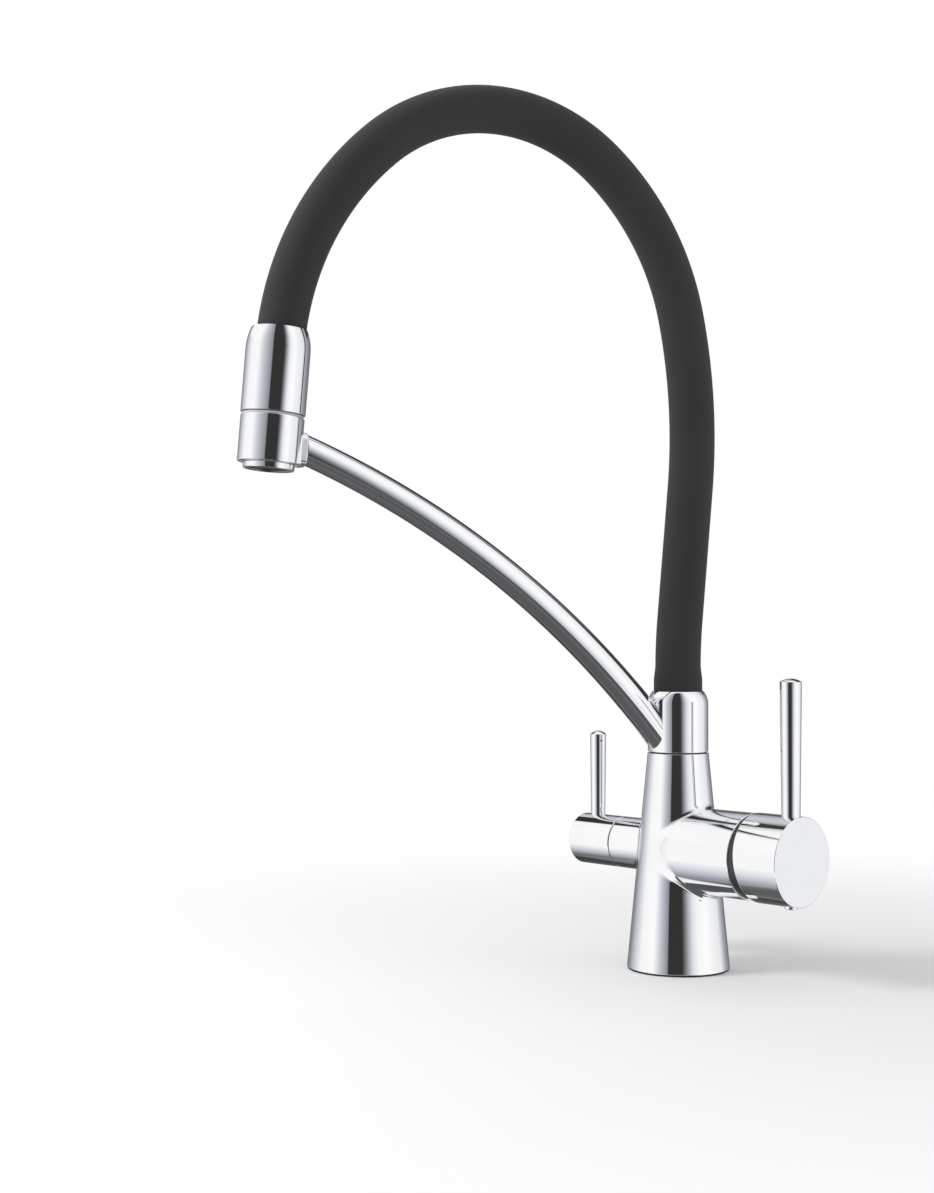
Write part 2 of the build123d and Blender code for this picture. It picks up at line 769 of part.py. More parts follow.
def mixer_knob():
    rear_top = mixer_branch_end + mixer_gap_top
    rear_bottom = mixer_branch_end + mixer_gap_bottom
    knob = disc(mixer_knob_radius, tilt_pivot, mixer_knob_end)
    # The rear edge is cut askew: the gap is wider at the bottom, where the knob rocks inwards.
    slant = math.degrees(math.atan2(rear_bottom - rear_top, 2 * mixer_knob_radius))
    cutter = Box(
        4 * mixer_knob_radius, 4 * mixer_knob_radius, 4 * mixer_knob_radius,
        align=(Align.CENTER, Align.CENTER, Align.MAX))
    knob = knob - Pos(0, 0, (rear_top + rear_bottom) / 2) * Rot(0, -slant, 0) * cutter
    rims = knob.edges().filter_by(GeomType.CIRCLE) + knob.edges().filter_by(GeomType.ELLIPSE)
    knob = fillet(rims, edge_round)
    cavity = Pos(0, 0, tilt_pivot) * Sphere(hood_radius + knob_cavity_clearance)
    knob = knob - cavity
    socket_half = stem_half_width + stem_socket_clearance
    socket = Pos(0, 0, tilt_pivot) * Box(
        2 * socket_half, 2 * socket_half, stem_end - tilt_pivot + free_gap, align=bottom_aligned)
    knob = knob - socket
    knob = knob - Pos(0, 0, mixer_lever_place) * Rot(0, -90, 0) * disc(
        lever_root_radius, mixer_knob_radius - mixer_lever_root_depth, mixer_knob_radius + 1)
    screw_way = disc(mixer_screw_radius, 0, mixer_knob_radius + 1)
    cap_seat = disc(screw_cap_radius, mixer_knob_radius - screw_cap_depth, mixer_knob_radius + 1)
    knob = knob - Pos(0, 0, mixer_lever_place) * Rot(0, 90, 0) * (screw_way + cap_seat)
    return mixer_place * knob


def mixer_lever():
    rod = lever(
        mixer_knob_radius, mixer_lever_top - branch_axis_height, mixer_lever_foot_radius,
        mixer_lever_top_radius, mixer_lever_dome, lever_root_radius, mixer_lever_root_depth,
        mixer_knob_radius)
    return Pos(mixer_lever_place, 0, branch_axis_height) * rod


def mixer_grub_screw():
    screw = disc(mixer_screw_radius, stem_half_width,
                 mixer_knob_radius - screw_cap_depth - screw_cap_to_screw)
    return mixer_place * Pos(0, 0, mixer_lever_place) * Rot(0, 90, 0) * screw


def mixer_screw_cap():
    cap = turned(
        (0, mixer_knob_radius - screw_cap_depth), (screw_cap_radius, mixer_knob_radius - screw_cap_depth),
        (screw_cap_radius, mixer_knob_radius + screw_cap_stand_out, edge_round),
        (0, mixer_knob_radius + screw_cap_stand_out))
    return mixer_place * Pos(0, 0, mixer_lever_place) * Rot(0, 90, 0) * cap


# ---------------------------------------------------------------------------
# Filter valve, knob and lever
# ---------------------------------------------------------------------------


def filter_valve_seal():
    return filter_place * ring(
        filter_disc_radius, filter_seal_inner_radius, filter_floor, filter_seal_top)


def filter_valve_body():
    shoulder = filter_bore_radius - filter_valve_clearance
    ceiling = spindle_flange_top + free_gap
    bore = spindle_radius + running_clearance
    body = turned(
        (filter_valve_inner_radius, filter_seal_top), (filter_valve_low_radius, filter_seal_top),
        (filter_valve_low_radius, filter_valve_shoulder_low), (shoulder, filter_valve_shoulder_low),
        (shoulder, filter_valve_shoulder_top), (filter_valve_neck_radius, filter_valve_shoulder_top),
        (filter_valve_neck_radius, filter_valve_neck_top), (bore, filter_valve_neck_top),
        (bore, ceiling), (filter_valve_inner_radius, ceiling))
    window_place = (filter_moving_disc_top + filter_moving_disc_bottom) / 2
    window = Pos(0, 0, window_place) * Rot(90, 0, 0) * Cylinder(
        filter_window_radius, 4 * filter_valve_low_radius)
    return filter_place * (body - window)


def filter_fixed_disc():
    plate = disc(filter_disc_radius, filter_seal_top, filter_fixed_disc_top)
    port = drilled_at(
        filter_disc_port_radius, -filter_disc_port_offset, 0,
        filter_seal_top - 1, filter_fixed_disc_top + 1)
    return filter_place * (plate - port)


def filter_moving_disc():
    plate = disc(
        filter_disc_radius - running_clearance, filter_moving_disc_bottom, filter_moving_disc_top)
    port = drilled_at(
        filter_disc_port_radius, 0, filter_disc_port_offset,
        filter_moving_disc_bottom - 1, filter_moving_disc_top + 1)
    return filter_place * (plate - port)


def filter_spindle():
    flange_radius = filter_disc_radius - running_clearance
    low = spindle_seal_place - spindle_seal_groove_width / 2
    high = spindle_seal_place + spindle_seal_groove_width / 2
    spindle = turned(
        (0, filter_moving_disc_top), (flange_radius, filter_moving_disc_top),
        (flange_radius, spindle_flange_top),
        (spindle_radius, spindle_flange_top), (spindle_radius, low),
        (spindle_seal_groove_radius, low), (spindle_seal_groove_radius, high),
        (spindle_radius, high), (spindle_radius, spindle_end, edge_round), (0, spindle_end))
    return filter_place * spindle


def filter_spindle_seal():
    section = (spindle_radius - spindle_seal_groove_radius) / 2
    return filter_place * seal_ring(
        spindle_seal_groove_radius + section, section - running_clearance / 2, spindle_seal_place)


def filter_gland():
    return filter_place * ring(
        filter_gland_radius, filter_valve_neck_radius,
        filter_valve_shoulder_top, filter_branch_end)


def filter_knob():
    cavity_radius = filter_branch_radius - filter_knob_wall
    knob = turned(
        (cavity_radius, filter_knob_start), (filter_branch_radius, filter_knob_start, edge_round),
        (filter_branch_radius, filter_knob_end, edge_round), (0, filter_knob_end),
        (0, filter_cavity_top), (cavity_radius, filter_cavity_top))
    knob = knob - disc(spindle_radius, filter_cavity_top - 1, spindle_end)
    knob = knob - Pos(0, 0, filter_lever_place) * Rot(0, 90, 0) * disc(
        lever_root_radius, filter_branch_radius - filter_lever_root_depth, filter_branch_radius + 1)
    knob = knob - Pos(0, 0, filter_screw_place) * Rot(0, -90, 0) * disc(
        filter_screw_radius, 0, filter_branch_radius + 1)
    return filter_place * knob


def filter_lever():
    rod = lever(
        filter_branch_radius, filter_lever_top - branch_axis_height, filter_lever_foot_radius,
        filter_lever_top_radius, filter_lever_dome, lever_root_radius, filter_lever_root_depth,
        filter_branch_radius)
    return Pos(-filter_lever_place, 0, branch_axis_height) * rod


def filter_grub_screw():
    screw = disc(filter_screw_radius, spindle_radius, filter_branch_radius - 1)
    return filter_place * Pos(0, 0, filter_screw_place) * Rot(0, -90, 0) * screw


# ---------------------------------------------------------------------------
# Swivel
# ---------------------------------------------------------------------------

def swivel_bush():
    sleeve_outer = collar_bore_radius - running_clearance
    return turned(
        (spigot_radius, column_height), (swivel_bush_flange_radius, column_height),
        (swivel_bush_flange_radius, swivel_bush_flange_top), (sleeve_outer, swivel_bush_flange_top),
        (sleeve_outer, swivel_bush_top), (spigot_radius, swivel_bush_top))


def spigot_seals():
    centre = spigot_radius - seal_groove_depth / 2
    return [seal_ring(centre, seal_section_radius, height) for height in seal_heights]


def swivel_screw_way(radius, inner, outer):
    """Cylinder across the collar's back, at the height of the spigot's groove."""
    return Pos(0, 0, screw_groove_height) * Rot(0, -90, 0) * disc(radius, inner, outer)


def water_distributor():
    """Carries mixed and filtered water across the swivel into the two hoses."""
    cup = turned(
        (spigot_radius + running_clearance, distributor_bottom),
        (collar_bore_radius, distributor_bottom), (collar_bore_radius, distributor_top),
        (0, distributor_top), (0, distributor_chamber_top),
        (spigot_radius + running_clearance, distributor_chamber_top))
    plunge = disc(
        filtered_riser_radius - running_clearance, plunge_tube_bottom, distributor_chamber_top + 1)
    mixed_barb_outer = mixed_hose_radius - mixed_hose_wall
    mixed_barb = ring(
        mixed_barb_outer, mixed_barb_outer - mixed_barb_wall,
        distributor_top - 1, distributor_top + barb_length)
    filtered_barb = disc(
        filtered_tube_radius - filtered_tube_wall,
        distributor_top - 1, distributor_top + barb_length)
    piece = cup + plunge + mixed_barb + filtered_barb
    bore = disc(
        filtered_barb_bore_radius, plunge_tube_bottom - 1,
        distributor_top + barb_length + 1)
    piece = piece - bore
    for number in range(mixed_port_count):
        angle = 2 * math.pi * number / mixed_port_count
        piece = piece - drilled_at(
            mixed_port_radius, mixed_port_ring_radius * math.cos(angle),
            mixed_port_ring_radius * math.sin(angle),
            distributor_chamber_top - 1, distributor_top + 1)
    screw_way = swivel_screw_way(
        swivel_screw_radius, spigot_radius - seal_groove_depth, collar_radius)
    return piece - screw_way


def swivel_screw():
    tip = spigot_radius - seal_groove_depth + free_gap
    return swivel_screw_way(swivel_screw_radius, tip, collar_radius - 2 * edge_round)


def spout_collar():
    collar = turned_shoulder(
        0, collar_bottom, collar_radius, collar_shoulder_height, collar_rim_radius, collar_top)
    collar = collar - disc(collar_bore_radius, collar_bottom - 1, collar_lip_bottom)
    collar = collar - disc(
        sleeve_cuff_radius + collar_lip_clearance, collar_lip_bottom - 1, collar_top + 1)
    return collar - swivel_screw_way(swivel_screw_radius, 0, collar_radius + 1)


# ---------------------------------------------------------------------------
# Hose
# ---------------------------------------------------------------------------

def heading_vector(heading):
    """Unit step along a heading in degrees from straight up, turning towards the reach."""
    return Vector(math.sin(math.radians(heading)), 0, math.cos(math.radians(heading)))


def bend_step(start_heading, end_heading):
    """Travel along a bend of radius 1 between two headings."""
    start = math.radians(start_heading)
    end = math.radians(end_heading)
    step = Vector(math.cos(start) - math.cos(end), 0, math.sin(end) - math.sin(start))
    return step if end_heading > start_heading else -step


hose_heading_in_head = 180 - head_tilt - hose_lean_in_head
ball_centre = (head_place * Pos(0, 0, hose_ball_depth)).position
ball_place = Pos(*ball_centre) * Rot(0, hose_heading_in_head, 0)
bends_end = ball_centre - heading_vector(hose_heading_in_head) * hose_straight_in_head


def hose_bends():
    """Headings between the bends, and the two lengths that make the hose meet the head.

    The straight riser's length and the rise bend's radius follow from the place of the head."""
    headings = [0, -lean_turn]
    headings.append(headings[-1] + shoulder_turn)
    headings.append(headings[-1] + rise_turn)
    headings.append(headings[-1] + crown_turn)
    headings.append(hose_heading_in_head)
    fixed = Vector(0, 0, hose_straight_top)
    fixed = fixed + bend_step(headings[0], headings[1]) * lean_radius
    fixed = fixed + bend_step(headings[1], headings[2]) * shoulder_radius
    fixed = fixed + bend_step(headings[3], headings[4]) * crown_radius
    fixed = fixed + bend_step(headings[4], headings[5]) * fall_radius
    gap = bends_end - fixed
    riser = heading_vector(headings[1])
    rise = bend_step(headings[2], headings[3])
    spread = riser.X * rise.Z - riser.Z * rise.X
    riser_length = (gap.X * rise.Z - gap.Z * rise.X) / spread
    rise_radius = (riser.X * gap.Z - riser.Z * gap.X) / spread
    return headings, riser_length, rise_radius


def hose_line(start_height, end_from_ball):
    """Centreline from start_height in the collar to end_from_ball short of the ball."""
    headings, riser_length, rise_radius = hose_bends()
    radii = (lean_radius, shoulder_radius, rise_radius, crown_radius, fall_radius)
    edges = []
    here = Vector(0, 0, hose_straight_top)
    if start_height < hose_straight_top:
        edges.append(Line(Vector(0, 0, start_height), here))
    for number, radius in enumerate(radii):
        start_heading, end_heading = headings[number], headings[number + 1]
        middle_heading = (start_heading + end_heading) / 2
        middle = here + bend_step(start_heading, middle_heading) * radius
        there = here + bend_step(start_heading, end_heading) * radius
        edges.append(ThreePointArc(here, middle, there))
        here = there
        if number == 0:
            there = here + heading_vector(end_heading) * riser_length
            edges.append(Line(here, there))
            here = there
    run = hose_straight_in_head - end_from_ball
    edges.append(Line(here, here + heading_vector(hose_heading_in_head) * run))
    return Wire(edges)


def hose_tube(outer, inner, start_height, end_from_ball):
    line = hose_line(start_height, end_from_ball)
    section = Pos(0, 0, start_height) * (Circle(outer) - Circle(inner))
    return sweep(section, path=line)


def hose_sleeve():
    bore = sleeve_radius - sleeve_wall
    sleeve = hose_tube(sleeve_radius, bore, hose_straight_top, sleeve_end_from_ball)
    cuff = turned(
        (bore, sleeve_bottom), (sleeve_cuff_radius, sleeve_bottom, 2 * edge_round),
        (sleeve_cuff_radius, sleeve_cuff_top), (sleeve_radius, hose_straight_top),
        (bore, hose_straight_top))
    cuff = cuff - disc(anchor_neck_radius, sleeve_bottom - 1, anchor_neck_top)
    return sleeve + cuff


def mixed_hose():
    return hose_tube(
        mixed_hose_radius, mixed_hose_radius - mixed_hose_wall, distributor_top,
        sleeve_end_from_ball)


def filtered_tube():
    return hose_tube(
        filtered_tube_radius, filtered_tube_radius - filtered_tube_wall, distributor_top,
        -filtered_tube_end_past_ball)


def hose_anchor():
    """Flanged sleeve inside the hose's foot, held under the collar's lip."""
    bore = anchor_neck_radius - anchor_neck_wall
    return turned(
        (bore, distributor_top), (anchor_flange_radius, distributor_top),
        (anchor_flange_radius, collar_lip_bottom), (sleeve_cuff_radius, collar_lip_bottom),
        (sleeve_cuff_radius, sleeve_bottom), (anchor_neck_radius, sleeve_bottom),
        (anchor_neck_radius, anchor_neck_top, edge_round), (bore, anchor_neck_top))


def mixed_hose_crimp():
    low = distributor_top + 1
    return ring(mixed_hose_radius + crimp_wall, mixed_hose_radius, low, low + crimp_length)


# ---------------------------------------------------------------------------
# Spray head, drawn about its own axis with Z as depth below its top
# ---------------------------------------------------------------------------


def head_shell():
    flip = Pos(0, 0, head_shell_length) * Rot(180, 0, 0)
    tube = turned_shoulder(
        head_mouth_radius, 0, head_shell_radius, head_shell_length - head_shoulder_depth,
        head_rim_radius, head_shell_length)
    shell = flip * tube
    return head_place * (shell - disc(head_cavity_radius, head_shoulder_depth, head_shell_length + 1))


def hose_ball_fitting():
    """Ball on the hose's end, so that the hose can lean in the head."""
    reach = math.sqrt(hose_ball_radius ** 2 - fitting_neck_radius ** 2)
    neck = ring(
        fitting_neck_radius, fitting_bore_radius,
        -fitting_flange_from_ball, -reach + 1)
    flange_top = fitting_flange_from_ball + fitting_flange_thickness
    flange = ring(
        fitting_flange_radius, fitting_bore_radius, -flange_top, -fitting_flange_from_ball)
    anchor = ring(
        fitting_anchor_radius, mixed_hose_radius + free_gap,
        -flange_top - fitting_anchor_length, -flange_top)
    ball = Sphere(hose_ball_radius) - disc(
        fitting_bore_radius, -2 * hose_ball_radius, 2 * hose_ball_radius)
    ball = ball & disc(2 * hose_ball_radius, -reach, 2 * hose_ball_radius)
    return ball_place * (ball + neck + flange + anchor)


def ball_seat():
    """Room for the ball with its running clearance."""
    return Pos(0, 0, hose_ball_depth) * Sphere(hose_ball_radius + running_clearance)


def ball_retainer():
    block = disc(head_cavity_radius, hose_ball_depth - ball_retainer_height, hose_ball_depth)
    return head_place * (block - ball_seat())


def head_core():
    core = disc(head_cavity_radius, hose_ball_depth, head_core_bottom)
    core = core - ball_seat()
    core = core - disc(
        filtered_outlet_radius - filtered_outlet_wall, hose_ball_depth, head_core_bottom + 1)
    for number in range(core_port_count):
        angle = 2 * math.pi * number / core_port_count
        core = core - drilled_at(
            core_port_radius, core_port_ring_radius * math.cos(angle),
            core_port_ring_radius * math.sin(angle), hose_ball_depth, head_core_bottom + 1)
    return head_place * core


def head_nose():
    flange_top = head_shell_length - nose_flange_thickness
    bore = nose_radius - nose_wall
    return head_place * turned(
        (bore, flange_top), (head_cavity_radius, flange_top), (head_cavity_radius, head_shell_length),
        (nose_radius, head_shell_length), (nose_radius, nose_bottom, 2 * edge_round),
        (bore, nose_bottom))


def aerator_housing():
    top = nose_bottom - aerator_set_back - aerator_length
    outer = nose_radius - nose_wall
    return head_place * ring(outer, outer - aerator_wall, top, nose_bottom - aerator_set_back)


def aerator_screen():
    bottom = nose_bottom - aerator_set_back - free_gap
    top = bottom - aerator_screen_thickness
    screen = ring(nose_radius - nose_wall - aerator_wall, filtered_outlet_radius, top, bottom)
    for ring_radius in aerator_hole_rings:
        count = math.floor(2 * math.pi * ring_radius / aerator_hole_pitch)
        for number in range(count):
            angle = 2 * math.pi * number / count
            screen = screen - drilled_at(
                aerator_hole_radius, ring_radius * math.cos(angle),
                ring_radius * math.sin(angle), top - 1, bottom + 1)
    return head_place * screen


def filtered_outlet():
    return head_place * ring(
        filtered_outlet_radius, filtered_outlet_radius - filtered_outlet_wall,
        head_core_bottom, nose_bottom - aerator_set_back)


# ---------------------------------------------------------------------------
# Dock and holder arm
# ---------------------------------------------------------------------------


def dock_screw_way(radius, inner, outer):
    """Cylinder along the boss, from the ring's bore towards the arm."""
    return Pos(0, 0, arm_end_depth) * Rot(0, 90, 0) * disc(radius, inner, outer)


def dock_ring():
    body = disc(dock_radius, dock_top, dock_bottom)
    body = fillet(body.edges(), 2 * edge_round)
    boss_height = dock_height - dock_boss_drop
    boss_section = RectangleRounded(boss_height, dock_boss_width, dock_boss_round)
    boss = Pos(0, 0, dock_bottom - boss_height / 2) * Rot(0, 90, 0) * extrude(boss_section, boss_face)
    body = body + boss
    body = body - disc(dock_bore_radius, dock_top - 1, dock_bottom + 1)
    body = body - dock_screw_way(dock_screw_radius, 0, boss_face + 1)
    body = body - dock_screw_way(
        dock_screw_head_radius, 0, dock_bore_radius + dock_screw_head_height)
    return head_place * body


def dock_liner():
    bore = nose_radius + liner_bore_clearance
    flange_top = dock_top - liner_flange_thickness
    return head_place * turned(
        (bore, flange_top, edge_round), (liner_flange_radius, flange_top),
        (liner_flange_radius, dock_top), (dock_bore_radius, dock_top),
        (dock_bore_radius, dock_bottom - edge_round), (bore, dock_bottom - edge_round))


def dock_screw():
    head = dock_screw_way(
        dock_screw_head_radius, dock_bore_radius, dock_bore_radius + dock_screw_head_height)
    shank = dock_screw_way(dock_screw_radius, dock_bore_radius, dock_bore_radius + dock_screw_length)
    return head_place * (head + shank)


def arm_line():
    """Arc through the collar's side and the boss's face, run on a little at both ends."""
    root = Vector(collar_radius, 0, arm_root_height)
    end = (head_place * Pos(boss_face, 0, arm_end_depth)).position
    chord = end - root
    middle = (root + end) * 0.5
    drop = math.sqrt(arm_bend_radius ** 2 - (chord.length / 2) ** 2)
    across = Vector(chord.Z, 0, -chord.X).normalized()
    centre = middle + across * drop
    start_angle = math.atan2(root.Z - centre.Z, root.X - centre.X)
    end_angle = math.atan2(end.Z - centre.Z, end.X - centre.X)
    start_angle += 0.7 * collar_radius / arm_bend_radius
    end_angle -= arm_end_radius / arm_bend_radius
    stations = (start_angle, (start_angle + end_angle) / 2, end_angle)
    points = [
        centre + Vector(math.cos(angle), 0, math.sin(angle)) * arm_bend_radius for angle in stations]
    return ThreePointArc(*points)


def arm_rod(root_radius, end_radius):
    """Tapered rod along the arm's arc."""
    line = arm_line()
    sections = []
    for place, radius in ((0, root_radius), (0.5, (root_radius + end_radius) / 2), (1, end_radius)):
        sections.append(Plane(line @ place, z_dir=line % place) * Circle(radius))
    return sweep(sections, path=line, multisection=True)


def beyond_boss(start):
    """Everything on the dock's side of a plane parallel to the boss's face."""
    size = 8 * arm_root_radius
    return head_place * Pos(start, 0, arm_end_depth) * Box(
        size, size, size, align=(Align.MAX, Align.CENTER, Align.CENTER))


def holder_arm():
    tube = arm_rod(arm_root_radius, arm_end_radius)
    tube = tube - arm_rod(arm_root_radius - arm_wall, arm_end_radius - arm_wall)
    tube = tube - disc(collar_radius, 0, 2 * arm_root_height)
    return tube - beyond_boss(boss_face)


def arm_plug():
    rod = arm_rod(arm_root_radius - arm_wall, arm_end_radius - arm_wall)
    plug = rod & beyond_boss(boss_face + arm_plug_length)
    plug = plug - beyond_boss(boss_face)
    thread = dock_screw_way(
        dock_screw_radius, boss_face - 1, dock_bore_radius + dock_screw_length)
    return plug - head_place * thread


# ---------------------------------------------------------------------------
# Nodes
# ---------------------------------------------------------------------------

fixed_nodes = {
    "tap_body": tap_body,
    "base_gasket": base_gasket,
    "inlet_check_valves": inlet_check_valves,
    "threaded_shank": threaded_shank,
    "rubber_washer": rubber_washer,
    "steel_washer": steel_washer,
    "shank_nut": shank_nut,
    "cartridge_base": cartridge_base,
    "cartridge_port_seals": cartridge_port_seals,
    "fixed_ceramic_disc": fixed_disc,
    "moving_ceramic_disc": moving_disc,
    "disc_coupler": disc_coupler,
    "stem_hub": stem_hub,
    "tilt_pin": tilt_pin,
    "mixer_stem": mixer_stem,
    "cartridge_housing": cartridge_housing,
    "cartridge_nut": cartridge_nut,
    "cartridge_hood": cartridge_hood,
    "mixer_knob": mixer_knob,
    "mixer_lever": mixer_lever,
    "mixer_grub_screw": mixer_grub_screw,
    "mixer_screw_cap": mixer_screw_cap,
    "filter_valve_seal": filter_valve_seal,
    "filter_valve_body": filter_valve_body,
    "filter_fixed_disc": filter_fixed_disc,
    "filter_moving_disc": filter_moving_disc,
    "filter_spindle": filter_spindle,
    "filter_spindle_seal": filter_spindle_seal,
    "filter_gland": filter_gland,
    "filter_knob": filter_knob,
    "filter_lever": filter_lever,
    "filter_grub_screw": filter_grub_screw,
    "swivel_bush": swivel_bush,
    "spigot_seals": spigot_seals,
}

spout_nodes = {
    "water_distributor": water_distributor,
    "swivel_screw": swivel_screw,
    "spout_collar": spout_collar,
    "hose_sleeve": hose_sleeve,
    "mixed_hose": mixed_hose,
    "filtered_tube": filtered_tube,
    "hose_anchor": hose_anchor,
    "mixed_hose_crimp": mixed_hose_crimp,
    "holder_arm": holder_arm,
    "arm_plug": arm_plug,
    "dock_ring": dock_ring,
    "dock_liner": dock_liner,
    "dock_screw": dock_screw,
    "head_shell": head_shell,
    "hose_ball_fitting": hose_ball_fitting,
    "ball_retainer": ball_retainer,
    "head_core": head_core,
    "head_nose": head_nose,
    "aerator_housing": aerator_housing,
    "aerator_screen": aerator_screen,
    "filtered_outlet": filtered_outlet,
}


def write_node(name, pieces, place):
    """Write one node's solids, moved to their place, to one STEP file."""
    if not isinstance(pieces, list):
        pieces = [pieces]
    solids = [solid for piece in pieces for solid in (place * piece).solids()]
    shape = solids[0] if len(solids) == 1 else Compound(children=solids)
    export_step(shape, f"parts/{name}.step")


for name, make in fixed_nodes.items():
    write_node(name, make(), Location())
for name, make in spout_nodes.items():
    write_node(name, make(), spout_place)
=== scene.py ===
"""Looks of the three way kitchen tap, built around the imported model.

Every shown piece of polished metal is made again here as a fine mesh with true normals,
because a mirror finish shows every facet. Lengths are millimetres until a mesh is made.
"""
import json
import math
from collections import namedtuple

import bpy
import numpy as np
from mathutils import Matrix, Vector


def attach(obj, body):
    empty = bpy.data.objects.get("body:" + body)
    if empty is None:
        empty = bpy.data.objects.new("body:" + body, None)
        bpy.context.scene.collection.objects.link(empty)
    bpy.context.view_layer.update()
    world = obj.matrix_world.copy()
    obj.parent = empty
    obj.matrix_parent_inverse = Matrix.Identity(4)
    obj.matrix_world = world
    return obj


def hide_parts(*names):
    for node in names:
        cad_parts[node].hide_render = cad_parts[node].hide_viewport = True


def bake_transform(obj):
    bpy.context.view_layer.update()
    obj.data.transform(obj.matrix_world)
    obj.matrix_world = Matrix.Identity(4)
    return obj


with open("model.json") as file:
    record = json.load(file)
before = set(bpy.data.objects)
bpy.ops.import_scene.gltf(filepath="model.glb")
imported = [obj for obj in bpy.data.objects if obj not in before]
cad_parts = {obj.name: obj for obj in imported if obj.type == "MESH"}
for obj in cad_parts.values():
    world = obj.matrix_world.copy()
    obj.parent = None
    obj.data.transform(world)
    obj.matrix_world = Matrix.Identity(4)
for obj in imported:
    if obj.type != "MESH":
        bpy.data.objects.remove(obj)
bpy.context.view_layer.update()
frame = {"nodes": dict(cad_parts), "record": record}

MM = 0.001

# ---------------------------------------------------------------------------
# Sizes, in millimetres, in the model's own frame
# ---------------------------------------------------------------------------

FOOT_RADIUS = 26.0
FOOT_UNDERSIDE = 0.8
GASKET_BORE = 22.0
GASKET_RADIUS = 25.5
GASKET_EDGE = 0.15
COLUMN_TOP_RADIUS = 15.45
COLUMN_TOP = 109.4
SPIGOT_RADIUS = 10.8
SPIGOT_TOP = 127.0
BRANCH_HEIGHT = 60.8
BLEND_RADIUS = 3.0
MIXER_SIDE_BLEND = 25.0
# how quickly the side blend's radius falls off above and below: a higher power would fold the surface
SIDE_BLEND_POWER = 12
EDGE = 0.4

MIXER_ROOT_RADIUS = 19.0
MIXER_ROOT_LENGTH = 16.0
MIXER_BRANCH_RADIUS = 21.4
MIXER_BRANCH_END = 48.5
MIXER_BORE = 18.95
# (radius, distance of its floor from the column's axis) of each step of a branch's bore
MIXER_BORES = ((MIXER_BORE, 40.0), (17.6, 14.0))
MIXER_KNOB_RADIUS = 21.8
MIXER_KNOB_END = 77.4
MIXER_GAP_TOP = 1.6
MIXER_GAP_BOTTOM = 6.2
MIXER_LEVER_PLACE = 70.7
MIXER_LEVER_TOP = 148.7
MIXER_LEVER_RADII = (4.55, 5.3)
MIXER_LEVER_DOME = 1.6
HOOD_RADIUS = 20.7
HOOD_WALL = 1.2
HOOD_OPENING = 12.0
HOOD_MIDDLE = 16.0
HOOD_SKIRT = 1.3
HOOD_SKIRT_BORE = 18.1
KNOB_CAVITY_RADIUS = 21.3
TILT_PIVOT = 46.0
CAP_RADIUS = 3.1
CAP_LENGTH = 3.0
CAP_STAND_OUT = 1.3

FILTER_BRANCH_RADIUS = 13.2
FILTER_BRANCH_END = 36.0
FILTER_BORES = ((10.95, 27.0), (9.3, 14.0))
FILTER_KNOB_GAP = 0.5
FILTER_KNOB_END = 63.9
FILTER_KNOB_WALL = 1.6
FILTER_KNOB_CAVITY = 9.0
FILTER_LEVER_PLACE = 55.2
FILTER_LEVER_TOP = 118.1
FILTER_LEVER_RADII = (3.75, 4.22)
FILTER_LEVER_DOME = 1.8
LEVER_SINK = 0.3

SCREW_RADIUS = 2.0
FILTER_SCREW_FROM_FACE = 13.4
FILTER_SCREW_DEPTH = 1.5
SWIVEL_SCREW_HEIGHT = 120.2
SWIVEL_SCREW_DEPTH = 1.2
# half the height of the mesh's window round a screw hole
HOLE_FRAME = 3.5

BUSH_RADIUS = 13.0
BUSH_RIM_RADIUS = 14.0
BUSH_RIM_TOP = 109.9
BUSH_TOP = 113.9
COLLAR_RADIUS = 15.3
COLLAR_RIM_RADIUS = 12.95
COLLAR_BOTTOM = 110.0
COLLAR_SHOULDER = 134.0
COLLAR_TOP = 140.6
COLLAR_BORE = 13.3
COLLAR_LIP_BORE = 12.5
COLLAR_LIP = 134.4

SPOUT_ANGLE = math.radians(-109.63)
HEAD_REACH = 212.2
HEAD_TOP = 311.9
HEAD_TILT = math.radians(4.8)
HEAD_RADIUS = 15.1
HEAD_RIM_RADIUS = 13.1
HEAD_MOUTH_RADIUS = 12.7
HEAD_BORE = 13.6
HEAD_SHOULDER = 10.0
HEAD_LENGTH = 39.6
DOCK_TOP = 40.8
DOCK_BOTTOM = 62.8
DOCK_RADIUS = 14.85
DOCK_BORE = 13.4
DOCK_EDGE = 0.8
LINER_RADIUS = 13.35
LINER_BORE = 12.35
LINER_FLANGE_RADIUS = 14.2
LINER_FLANGE = 0.9
NOSE_RADIUS = 12.0
NOSE_BORE = 10.7
NOSE_BOTTOM = 65.7

BOSS_FACE = 16.2
BOSS_WIDTH = 13.8
BOSS_HEIGHT = 16.0
BOSS_ROUND = 4.0
BOSS_SINK = 0.7
ARM_ROOT_HEIGHT = 123.9
ARM_ROOT_SINK = 0.15
ARM_END_DEPTH = 54.1
ARM_END_EDGE = 0.35
ARM_BEND = 474.2
ARM_RADII = (7.8, 6.9)

SLEEVE_RADIUS = 11.5
SLEEVE_BORE = 9.6
CUFF_RADIUS = 12.3
CUFF_BOTTOM = 135.3
CUFF_TOP = 147.5
CUFF_FADE = 2.0
HOSE_STRAIGHT_TOP = 152.0
MIXED_HOSE = (7.0, 5.2)
FILTERED_TUBE = (2.6, 1.6)
INNER_HOSE_BOTTOM = 133.0
BALL_DEPTH = 24.0
HOSE_STRAIGHT_IN_HEAD = 22.0
HOSE_LEAN_IN_HEAD = 2.2
